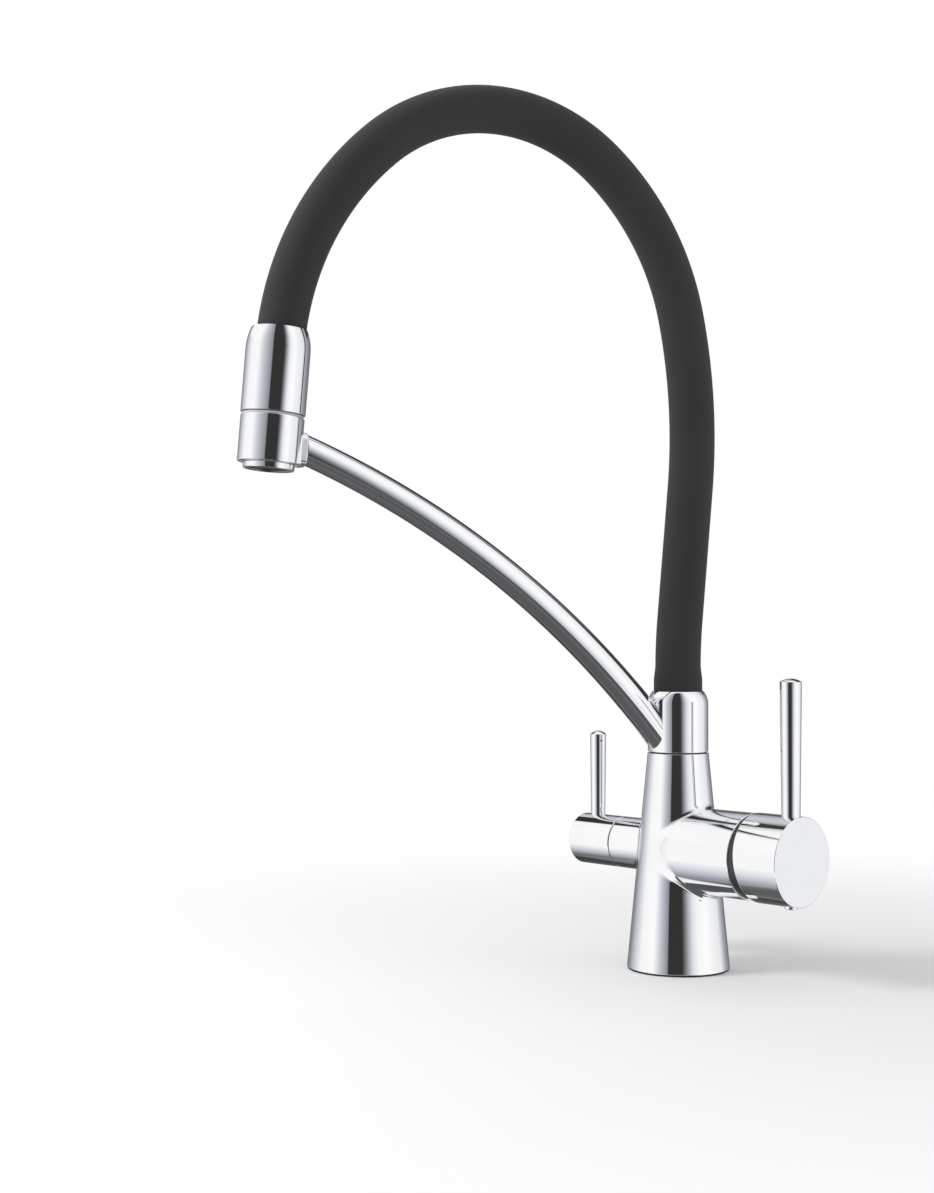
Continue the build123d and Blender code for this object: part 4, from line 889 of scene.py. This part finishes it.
def mixer_cap():
    """Cap of the grub screw's hole, under the knob."""
    place = mixer_place @ Matrix.Translation((0, 0, MIXER_LEVER_PLACE)) @ Matrix.Rotation(math.pi / 2, 4, "X")
    face = MIXER_KNOB_RADIUS + CAP_STAND_OUT
    turned_piece("mixer_screw_plug", "mixer_handle", "chrome", "mixer_screw_cap", outline(
        (0, face - CAP_LENGTH), (CAP_RADIUS, face - CAP_LENGTH), (CAP_RADIUS, face, EDGE), (0, face)), place)


def filter_knob():
    """Round knob with its grub screw's hole below."""
    skin = Skin(filter_place)
    radius, start, end = FILTER_BRANCH_RADIUS, FILTER_BRANCH_END + FILTER_KNOB_GAP, FILTER_KNOB_END
    hole_at = end - FILTER_SCREW_FROM_FACE
    drilled_side(
        skin, radius, np.linspace(start + EDGE, hole_at - 4, 4), np.linspace(hole_at + 4, end - EDGE, 4),
        3 * SIDES // 4, 7, hole_at, FILTER_SCREW_DEPTH)
    skin.end_face(radius, end)
    cavity, floor_at = radius - FILTER_KNOB_WALL, start + FILTER_KNOB_CAVITY
    skin.turned(outline(
        (0, floor_at), (cavity, floor_at), (cavity, start), (radius, start, EDGE),
        (radius, start + 2 * EDGE))[:-1])
    skin.settle("filter_knob_shell", "filter_handle", "chrome", "filter_knob")


# ---------------------------------------------------------------------------
# Spout: collar, arm, dock and hose
# ---------------------------------------------------------------------------


def swivel_seam():
    """Bearing bush between column and collar; its rim stays back, and it is dark grey plastic in place of its
    white, painted shade, so that the seam reads as a dark line.
    """
    # dark grey plastic instead of the bush's white: painted shade in the seam
    turned_piece("swivel_bush_ring", "body", "grey_plastic", "swivel_bush", outline(
        (SPIGOT_RADIUS, COLUMN_TOP), (BUSH_RIM_RADIUS, COLUMN_TOP), (BUSH_RIM_RADIUS, BUSH_RIM_TOP),
        (BUSH_RADIUS, BUSH_RIM_TOP), (BUSH_RADIUS, BUSH_TOP), (SPIGOT_RADIUS, BUSH_TOP), closed=True))


def spout_collar():
    skin = Skin(spout_place)
    drilled_side(
        skin, COLLAR_RADIUS, (COLLAR_BOTTOM + EDGE, COLLAR_BOTTOM + 3),
        (SWIVEL_SCREW_HEIGHT + 6, COLLAR_SHOULDER), SIDES // 2, 6, SWIVEL_SCREW_HEIGHT, SWIVEL_SCREW_DEPTH)
    skin.turned(outline(
        (COLLAR_RADIUS, COLLAR_SHOULDER),
        shoulder(COLLAR_RADIUS, COLLAR_SHOULDER, COLLAR_RIM_RADIUS, COLLAR_TOP),
        (COLLAR_RIM_RADIUS, COLLAR_TOP), (COLLAR_LIP_BORE, COLLAR_TOP), (COLLAR_LIP_BORE, COLLAR_LIP),
        (COLLAR_BORE, COLLAR_LIP), (COLLAR_BORE, COLLAR_BOTTOM), (COLLAR_RADIUS, COLLAR_BOTTOM, EDGE),
        (COLLAR_RADIUS, COLLAR_BOTTOM + 2 * EDGE))[:-1])
    skin.settle("spout_collar_shell", "spout", "chrome", "spout_collar")


def in_plane(place, x, z):
    """(reach, height) of a point of a place's own middle plane."""
    point = place @ Vector((x, 0, z))
    return np.array((point.x, point.z))


def holder_arm():
    """Tapered tube bent on one arc, coped onto the collar and cut along the dock's boss."""
    skin = Skin(spout_place)
    root = np.array((COLLAR_RADIUS, ARM_ROOT_HEIGHT))
    end = in_plane(head_in_spout, BOSS_FACE, ARM_END_DEPTH)
    chord = end - root
    half = np.linalg.norm(chord) / 2
    centre = (root + end) / 2 + math.sqrt(ARM_BEND ** 2 - half ** 2) * unit(np.array((chord[1], -chord[0])))
    # the tube starts inside the collar and ends past the boss's face, and is cut at both
    first = math.atan2(*(root - centre)[::-1]) + 0.7 * COLLAR_RADIUS / ARM_BEND
    last = math.atan2(*(end - centre)[::-1]) - ARM_RADII[1] / ARM_BEND
    length = (first - last) * ARM_BEND
    slope = (ARM_RADII[1] - ARM_RADII[0]) / length
    around = circle_angles()

    def at(way, shrink=0.0):
        """Points, normals and onward directions at ways from 0 to 1 along the arm, one for each spoke."""
        angle = first + (last - first) * way
        radius = ARM_RADII[0] + (ARM_RADII[1] - ARM_RADII[0]) * way - shrink
        out, onward = stacked(np.cos(angle), 0, np.sin(angle)), stacked(np.sin(angle), 0, -np.cos(angle))
        ring = np.cos(around)[:, None] * out + np.sin(around)[:, None] * ACROSS
        hub = ARM_BEND * out + (centre[0], 0, centre[1])
        return hub + radius[..., None] * ring, ring - slope * onward, onward

    def cut(beyond, low, high):
        """Way at which each spoke's line meets a surface."""
        return halved(lambda way: beyond(at(way)[0]), np.full_like(around, low), np.full_like(around, high))

    into_head = np.array(head_in_spout.inverted())[0]
    start = cut(lambda p: np.hypot(p[:, 0], p[:, 1]) > COLLAR_RADIUS - ARM_ROOT_SINK, -0.05, 0.3)
    stop = cut(lambda p: p @ into_head[:3] + into_head[3] < BOSS_FACE, 0.7, 1.05)
    edge = ARM_END_EDGE / length
    skin.patch(*at(start + (stop - edge - start) * np.linspace(0, 1, 120)[:, None])[:2])
    # broken edge at the boss
    turn = np.linspace(0, math.pi / 2, 6)[:, None]
    points, normals, onward = at(stop - edge + edge * np.sin(turn), ARM_END_EDGE * (1 - np.cos(turn)))
    skin.patch(points, np.cos(turn)[..., None] * normals + np.sin(turn)[..., None] * onward)
    skin.settle("holder_arm_tube", "spout", "chrome", "holder_arm")


def dock():
    """Ring that the spray head hangs in, with the boss that the arm meets, and its liner."""
    skin = Skin(head_place)
    skin.turned(outline(
        (DOCK_BORE, DOCK_TOP), (DOCK_RADIUS, DOCK_TOP, DOCK_EDGE), (DOCK_RADIUS, DOCK_BOTTOM, DOCK_EDGE),
        (DOCK_BORE, DOCK_BOTTOM), closed=True))
    # boss: a rounded block whose section lies across the head's axis
    tall, wide = BOSS_HEIGHT / 2, BOSS_WIDTH / 2
    place = Matrix.Translation((0, 0, DOCK_BOTTOM - tall))
    quarter = np.linspace(0, math.pi / 2, 13)
    corner = np.concatenate([quarter + k * math.pi / 2 for k in range(4)])
    signs = np.repeat(((1, 1), (-1, 1), (-1, -1), (1, -1)), 13, axis=0)
    spokes = stacked(0, np.cos(corner), np.sin(corner))
    centres = stacked(0, signs[:, 0] * (wide - BOSS_ROUND), signs[:, 1] * (tall - BOSS_ROUND))
    out = np.array((1.0, 0, 0))
    rim = centres + BOSS_ROUND * spokes
    root = np.sqrt(DOCK_RADIUS ** 2 - rim[:, 1] ** 2) - BOSS_SINK
    skin.patch(np.stack((rim + root[:, None] * out, rim + (BOSS_FACE - EDGE) * out)), spokes, place)
    share = np.linspace(0, math.pi / 2, 7)[:, None, None]
    around = np.cos(share) * spokes + np.sin(share) * out
    inner = centres + (BOSS_ROUND - EDGE) * spokes
    skin.patch(inner + (BOSS_FACE - EDGE) * out + EDGE * around, around, place)
    face = inner + BOSS_FACE * out
    skin.patch(np.stack((face, np.broadcast_to(BOSS_FACE * out, face.shape))), out, place)
    skin.settle("dock_ring_shell", "spout", "chrome", "dock_ring")
    turned_piece("dock_liner_sleeve", "spout", "dock_plastic", "dock_liner", outline(
        (LINER_BORE, DOCK_BOTTOM - EDGE), (LINER_RADIUS, DOCK_BOTTOM - EDGE), (LINER_RADIUS, DOCK_TOP),
        (LINER_FLANGE_RADIUS, DOCK_TOP), (LINER_FLANGE_RADIUS, DOCK_TOP - LINER_FLANGE),
        (LINER_BORE, DOCK_TOP - LINER_FLANGE, EDGE), closed=True), head_place)


def heading_step(heading):
    """Unit step, in (reach, height), along a heading from straight up, turning towards the reach."""
    return np.array((math.sin(heading), math.cos(heading)))


def bend_step(start, end):
    """Travel along a bend of radius 1 from one heading to another."""
    step = np.array((math.cos(start) - math.cos(end), math.sin(end) - math.sin(start)))
    return step if end > start else -step


def hose_runs():
    """The hose's centreline as (start, heading, turn, length) runs from the cuff to the ball."""
    last = math.pi - HEAD_TILT - math.radians(HOSE_LEAN_IN_HEAD)
    headings = [0.0]
    for turn in (LEAN_BEND[1], SHOULDER_BEND[1], RISE_TURN, CROWN_BEND[1]):
        headings.append(headings[-1] + math.radians(turn))
    headings.append(last)

    def laid(riser, rise):
        """Runs, and where the last starts, for a straight riser's length and the rise bend's radius."""
        runs = [(np.array((0, INNER_HOSE_BOTTOM)), 0.0, 0.0, HOSE_STRAIGHT_TOP - INNER_HOSE_BOTTOM)]
        here = np.array((0, HOSE_STRAIGHT_TOP))
        for number, radius in enumerate((LEAN_BEND[0], SHOULDER_BEND[0], rise, CROWN_BEND[0], FALL_RADIUS)):
            start, end = headings[number:number + 2]
            runs.append((here, start, end - start, abs(end - start) * radius))
            here = here + bend_step(start, end) * radius
            if number == 0:
                runs.append((here, end, 0.0, riser))
                here = here + heading_step(end) * riser
        runs.append((here, last, 0.0, HOSE_STRAIGHT_IN_HEAD))
        return runs, here

    ball = in_plane(head_in_spout, 0, BALL_DEPTH)
    gap = ball - heading_step(last) * HOSE_STRAIGHT_IN_HEAD - laid(0.0, 0.0)[1]
    steps = stacked(heading_step(headings[1]), bend_step(headings[2], headings[3]))
    return laid(*np.linalg.solve(steps, gap))[0]


HOSE_RUNS = hose_runs()
HOSE_LENGTH = sum(run[3] for run in HOSE_RUNS)


def along_hose(stations):
    """Places, in (reach, height), and headings at lengths along the hose's centreline."""
    places, headings = np.empty((len(stations), 2)), np.empty(len(stations))
    done = 0.0
    for start, heading, turn, length in HOSE_RUNS:
        # what lies past this run is set again by the next one
        here = stations >= done - 1e-9
        way = stations[here] - done
        facing = heading + turn / length * way
        if turn:
            step = stacked(math.cos(heading) - np.cos(facing), np.sin(facing) - math.sin(heading))
            step *= length / turn
        else:
            step = np.outer(way, heading_step(heading))
        places[here], headings[here] = start + step, facing
        done += length
    return places, headings


def hose_tube(name, outer, inner, start, end, spacing, sides, slot, cad_node):
    """Tube along the hose from start to end, lengths along the centreline; outer gives (radius, slope)."""
    skin = Skin(spout_place)
    stations = np.linspace(start, end, round((end - start) / spacing) + 1)
    places, headings = along_hose(stations)
    radius, slope = outer(stations)
    angles = circle_angles(sides)
    side = stacked(np.cos(headings), 0, -np.sin(headings))
    onward = stacked(np.sin(headings), 0, np.cos(headings))
    hub = stacked(places[:, 0], 0, places[:, 1])
    ring = np.cos(angles)[:, None] * side[:, None] + np.sin(angles)[:, None] * ACROSS
    skin.patch(hub[:, None] + radius[:, None, None] * ring, ring - slope[:, None, None] * onward[:, None])
    # the hidden inner wall needs fewer rows
    inside = np.append(np.arange(0, len(stations) - 1, 4), len(stations) - 1)
    skin.patch((hub[:, None] + inner * ring)[inside], -ring[inside])
    for number, facing in ((0, -1), (-1, 1)):
        skin.strip(
            hub[number] + radius[number] * ring[number], hub[number] + inner * ring[number],
            facing * onward[number], wrap=True)
    piece = skin.build(name, slot)
    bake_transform(piece)
    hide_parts(cad_node)


def sleeve_radius(stations):
    """Outer radius of the black sleeve and its slope: a slightly wider cuff at the foot."""
    low = CUFF_TOP - CUFF_FADE - INNER_HOSE_BOTTOM
    high = HOSE_STRAIGHT_TOP + CUFF_FADE - INNER_HOSE_BOTTOM
    t = np.clip((stations - low) / (high - low), 0, 1)
    step = SLEEVE_RADIUS - CUFF_RADIUS
    return CUFF_RADIUS + step * t * t * (3 - 2 * t), step * 6 * t * (1 - t) / (high - low)


def hoses():
    sleeve_end = HOSE_LENGTH - SLEEVE_END_FROM_BALL
    hose_tube("hose_sleeve_skin", sleeve_radius, SLEEVE_BORE, CUFF_BOTTOM - INNER_HOSE_BOTTOM,
              sleeve_end, 1.0, 96, "black_hose", "hose_sleeve")
    hose_tube("mixed_hose_skin", plain_radius(MIXED_HOSE[0]), MIXED_HOSE[1], 0.0,
              sleeve_end, 3.0, 40, "water_hose", "mixed_hose")
    hose_tube("filtered_tube_skin", plain_radius(FILTERED_TUBE[0]), FILTERED_TUBE[1], 0.0,
              HOSE_LENGTH + TUBE_END_PAST_BALL, 3.0, 24, "water_hose", "filtered_tube")


def spray_head():
    turned_piece("spray_head_shell", "head", "chrome", "head_shell", outline(
        (HEAD_MOUTH_RADIUS, 0), (HEAD_RIM_RADIUS, 0),
        shoulder(HEAD_RADIUS, HEAD_SHOULDER, HEAD_RIM_RADIUS, 0), (HEAD_RADIUS, HEAD_SHOULDER),
        (HEAD_RADIUS, HEAD_LENGTH, EDGE), (HEAD_BORE, HEAD_LENGTH), (HEAD_BORE, HEAD_SHOULDER),
        (HEAD_MOUTH_RADIUS, HEAD_SHOULDER), closed=True), head_place)
    turned_piece("spray_nose", "head", "chrome", "head_nose", outline(
        (NOSE_BORE, HEAD_LENGTH), (NOSE_RADIUS, HEAD_LENGTH), (NOSE_RADIUS, NOSE_BOTTOM, DOCK_EDGE),
        (NOSE_BORE, NOSE_BOTTOM), closed=True), head_place)


# ---------------------------------------------------------------------------
# Fixing under the worktop, and the gasket on it
# ---------------------------------------------------------------------------


def threaded_shank():
    """Tube with a helical thread: a plain core and a ridge that fades out at both ends."""
    skin = Skin()
    root, bore = SHANK_RADIUS - THREAD_DEPTH, SHANK_RADIUS - SHANK_WALL
    skin.turned(outline(
        (bore, SHANK_BOTTOM), (root, SHANK_BOTTOM, EDGE), (root, SHANK_SEAT), (bore, SHANK_SEAT), closed=True))
    low, high = SHANK_BOTTOM + THREAD_PITCH, SHANK_SEAT - THREAD_PITCH
    steps = 72
    angle = np.arange(round((high - low) / THREAD_PITCH * steps) + 1) * math.tau / steps
    rise = low + angle / math.tau * THREAD_PITCH
    fade = np.clip(np.minimum(angle, angle[-1] - angle) / math.pi, 0, 1)
    out = spokes_at(angle, 0)
    slant = (THREAD_FLANK - THREAD_CREST) / THREAD_DEPTH
    rows = []
    for across, share in ((-THREAD_FLANK, 0), (-THREAD_CREST, 1), (THREAD_CREST, 1), (THREAD_FLANK, 0)):
        radius = root - THREAD_SINK + (THREAD_DEPTH + THREAD_SINK) * share * fade
        rows.append(radius[:, None] * out + (rise + across)[:, None] * UP)
    for first, second, lean in zip(rows, rows[1:], (-1, 0, 1)):
        skin.strip(first, second, out * slant + lean * UP if lean else out)
    return skin.settle("threaded_shank_tube", "body", "brass", "threaded_shank")


def shank_nut():
    """Hexagon nut, its corners cut by a cone on both faces."""
    skin = Skin()
    half, top, bottom = NUT_FLATS / 2, NUT_TOP, NUT_TOP - NUT_THICKNESS
    sector = np.linspace(-math.pi / 6, math.pi / 6, 15)
    wide, face, slant = half / np.cos(sector), half - NUT_FACE_INSET, math.tan(NUT_CONE)
    cut = (wide - face) * slant
    for number in range(6):
        facing = number * math.pi / 3
        out = spokes_at(facing + sector, 0)
        corner, rim, hole = (np.reshape(radius, (-1, 1)) * out for radius in (wide, face, SHANK_RADIUS))
        low, high = corner + np.outer(bottom + cut, UP), corner + np.outer(top - cut, UP)
        skin.strip(low, high, spokes_at(facing, 0))
        for edge, level, way in ((high, top, 1), (low, bottom, -1)):
            skin.strip(edge, rim + level * UP, out * slant + way * UP)
            skin.strip(rim + level * UP, hole + level * UP, way * UP)
        skin.strip(hole + bottom * UP, hole + top * UP, -out)
    return skin.settle("shank_hex_nut", "body", "brass", "shank_nut")


def washers():
    """The two clamping washers, between the worktop and the nut."""
    middle, top = NUT_TOP + STEEL_THICKNESS, NUT_TOP + STEEL_THICKNESS + RUBBER_THICKNESS
    return [
        turned_piece(name, "body", slot, cad_node, outline(
            (WASHER_BORE, low), (WASHER_RADIUS, low, EDGE), (WASHER_RADIUS, high, EDGE), (WASHER_BORE, high),
            closed=True))
        for name, slot, cad_node, high, low in (
            ("clamp_rubber_ring", "rubber", "rubber_washer", top, middle),
            ("clamp_steel_ring", "steel", "steel_washer", middle, NUT_TOP))]


def foot_gasket():
    turned_piece("foot_gasket", "body", "rubber", "base_gasket", outline(
        (GASKET_BORE, 0), (GASKET_RADIUS, 0, GASKET_EDGE), (GASKET_RADIUS, FOOT_UNDERSIDE),
        (GASKET_BORE, FOOT_UNDERSIDE), closed=True))


def hide_below_worktop(*pieces):
    """The worktop stands between these pieces and the polished metal above, so it doesn't mirror them."""
    for piece in pieces:
        piece.visible_glossy = False


# ---------------------------------------------------------------------------
# Studio
# ---------------------------------------------------------------------------

CAMERA_HEADING = math.radians(46.673)


def stage_sheet(name, width, height, place, material):
    """Flat rectangle of the studio, centred on its place, in metres."""
    mesh = bpy.data.meshes.new(name)
    x, y = width / 2, height / 2
    mesh.from_pydata([(-x, -y, 0), (x, -y, 0), (x, y, 0), (-x, y, 0)], [], [(0, 1, 2, 3)])
    mesh.materials.append(material)
    sheet = bpy.data.objects.new(name, mesh)
    sheet.matrix_world = place
    bpy.context.scene.collection.objects.link(sheet)
    return sheet


def mirrored_card(name, width, height, place, colour_of):
    """Glowing card that only reflections see; colour_of makes its colour from its own X and Y."""
    material = bpy.data.materials.new(name)
    nodes = Nodes(material)
    nodes.tree.nodes.clear()
    glow, output = nodes.add("Emission"), nodes.add("OutputMaterial")
    nodes.link(glow.outputs["Emission"], output.inputs["Surface"])
    nodes.link(colour_of(nodes, *nodes.axes()[:2]), glow.inputs["Color"])
    card = stage_sheet(name, width, height, place, material)
    card.visible_camera = card.visible_diffuse = card.visible_shadow = card.visible_transmission = False


def front_panel():
    """Soft light panel on the camera's side, with the dark strip that crosses every upright piece."""
    def colour_of(nodes, across, _):
        return nodes.brightness(across, (
            (-1.35, 1.05), (-0.95, 1.0), (-0.70, 0.85), (-0.40, 0.5), (-0.28, 0.3), (-0.26, 0.035),
            (0.02, 0.035), (0.08, 0.2), (0.16, 0.55), (0.25, 0.85), (0.40, 1.0), (0.75, 1.05)))

    upright = Matrix.Rotation(CAMERA_HEADING, 4, "Z") @ Matrix.Translation((0, -0.48, 0.65))
    mirrored_card("front_panel", 2.7, 1.5, upright @ Matrix.Rotation(math.pi / 2, 4, "X"), colour_of)


def overhead_flag():
    """Dark card above the filter side, for the line along the top of its branch and knob."""
    def colour_of(nodes, _, along):
        edge = nodes.smooth(nodes.maths("ABSOLUTE", along), 0.090, 0.112, 0.035, 0.9)
        shade = nodes.add("CombineColor")
        for name in ("Red", "Green", "Blue"):
            nodes.link(edge, shade.inputs[name])
        return shade.outputs["Color"]

    mirrored_card("overhead_flag", 0.32, 0.226, Matrix.Translation((-0.445, 0.058, 0.40)), colour_of)


def floor():
    """Pale floor that brightens into the white backdrop with distance."""
    material, nodes, surface = new_material("studio_floor", Specular_IOR_Level=0.2, Roughness=0.6)
    cloud = nodes.noise(3.0, 4.0)
    nodes.link(nodes.tinted(cloud, (0.88, 0.88, 0.885), (0.90, 0.90, 0.90)), surface.inputs["Base Color"])
    x, y, _ = nodes.axes()
    away = nodes.maths("SQRT", nodes.maths("ADD", nodes.product(x, x), nodes.product(y, y)))
    glow = nodes.add("Emission", Color=(1, 1, 1, 1), Strength=1.0)
    faded = nodes.mixed_shaders(
        nodes.smooth(away, 0.08, 0.55), surface.outputs["BSDF"], glow.outputs["Emission"])
    nodes.link(faded, nodes.tree.nodes["Material Output"].inputs["Surface"])
    stage_sheet("floor", 12, 12, HERE, material).visible_glossy = False


def mirrored_room(nodes):
    """What polished metal sees: two soft side lights, darker behind, with lines for the lying pieces."""
    x, y, up = nodes.axes("Generated")
    right, back, _ = nodes.axes("Generated", CAMERA_HEADING)
    # degrees: from the camera's side, positive to the right; above the horizon; about the branches' axis
    azimuth = nodes.maths("DEGREES", nodes.maths("ARCTAN2", right, nodes.product(back, -1.0)))
    height = nodes.maths("DEGREES", nodes.maths("ARCSINE", up))
    roll = nodes.maths("DEGREES", nodes.maths("ARCTAN2", up, nodes.product(y, -1.0)))
    lights = nodes.brightness(azimuth, (
        (-180, 0.2), (-150, 0.3), (-120, 0.75), (-100, 1.0), (-60, 1.05), (60, 1.05), (90, 0.95), (105, 0.9),
        (125, 0.45), (150, 0.2), (180, 0.2)))
    # the ceiling is light, and behind on the right a dark line runs along the arm's top
    line = nodes.product(nodes.smooth(azimuth, 130, 138), nodes.smooth(height, 14, 18))
    room = nodes.mixed(line, lights, 0.035)
    room = nodes.mixed(nodes.smooth(height, 44, 54), room, 0.95)
    # below: grey for the arm's underside, in front, deeper on the left, and straight down
    ahead = nodes.product(nodes.between(azimuth, (-45, -35), (45, 55)), nodes.smooth(height, -26, -33))
    left = nodes.product(nodes.between(azimuth, (-175, -160), (-30, -20)), nodes.smooth(height, -44, -50))
    grey = nodes.maths("MAXIMUM", ahead, nodes.maths("MAXIMUM", left, nodes.smooth(height, -62, -67)))
    depth = nodes.brightness(height, (
        (-90, 0.15), (-66, 0.1), (-52, 0.12), (-49, 0.2), (-46, 0.1), (-36, 0.1), (-28, 0.15)))
    room = nodes.mixed(grey, room, depth)
    # the lying knobs and branches see this as bands along their length
    bands = nodes.brightness(roll, (
        (-180, 0.25), (-125, 0.07), (-95, 0.04), (-75, 0.2), (-55, 0.6), (-35, 0.9), (0, 1.05), (80, 1.0),
        (104, 0.25), (115, 0.65), (130, 0.7), (160, 0.15), (180, 0.2)))
    beside = nodes.product(
        nodes.smooth(x, -0.45, -0.56), nodes.smooth(nodes.maths("ABSOLUTE", up), 0.30, 0.42),
        nodes.smooth(height, -49, -46))
    return nodes.mixed(beside, room, bands)


def surroundings():
    """White to the camera and plain light to the rest; polished metal sees its own room."""
    world = bpy.data.worlds.new("studio")
    bpy.context.scene.world = world
    nodes = Nodes(world)
    ray = nodes.add("LightPath")
    seen = nodes.tree.nodes["Background"]
    seen.inputs["Color"].default_value = (1, 1, 1, 1)
    plain = nodes.add("Background", Color=(1, 1, 1, 1), Strength=0.74)
    mirror = nodes.add("Background")
    nodes.link(mirrored_room(nodes), mirror.inputs["Color"])
    chosen = nodes.mixed_shaders(ray.outputs["Is Glossy Ray"], plain.outputs[0], mirror.outputs[0])
    chosen = nodes.mixed_shaders(ray.outputs["Is Camera Ray"], chosen, seen.outputs[0])
    nodes.link(chosen, nodes.tree.nodes["World Output"].inputs["Surface"])


def key_light():
    """Large soft light from the left, for the floor's shadow; it isn't mirrored in the metal."""
    light = bpy.data.lights.new("key", "AREA")
    light.shape = "DISK"
    light.size = 0.45
    light.energy = 7.5
    lamp = bpy.data.objects.new("key", light)
    lamp.location = (-0.48, -0.85, 0.72)
    lamp.rotation_euler = (Vector((0, 0, 0.05)) - lamp.location).to_track_quat("-Z", "Y").to_euler()
    lamp.visible_glossy = False
    bpy.context.scene.collection.objects.link(lamp)


def camera():
    view = bpy.data.cameras.new("camera")
    view.lens = 56.67
    view.sensor_width = 36.0
    view.clip_start = 0.01
    seat = bpy.data.objects.new("camera", view)
    seat.location = (0.62187, -0.73420, 0.17888)
    seat.rotation_euler = (math.radians(90.59), 0, CAMERA_HEADING)
    bpy.context.scene.collection.objects.link(seat)
    bpy.context.scene.camera = seat
    bpy.context.scene.view_settings.view_transform = "Standard"


dress_cad_nodes()
column_casting()
mixer_knob()
hood()
mixer_cap()
filter_knob()
levers()
swivel_seam()
spout_collar()
holder_arm()
dock()
hoses()
spray_head()
hide_below_worktop(threaded_shank(), shank_nut(), *washers())
foot_gasket()
floor()
front_panel()
overhead_flag()
surroundings()
key_light()
camera()
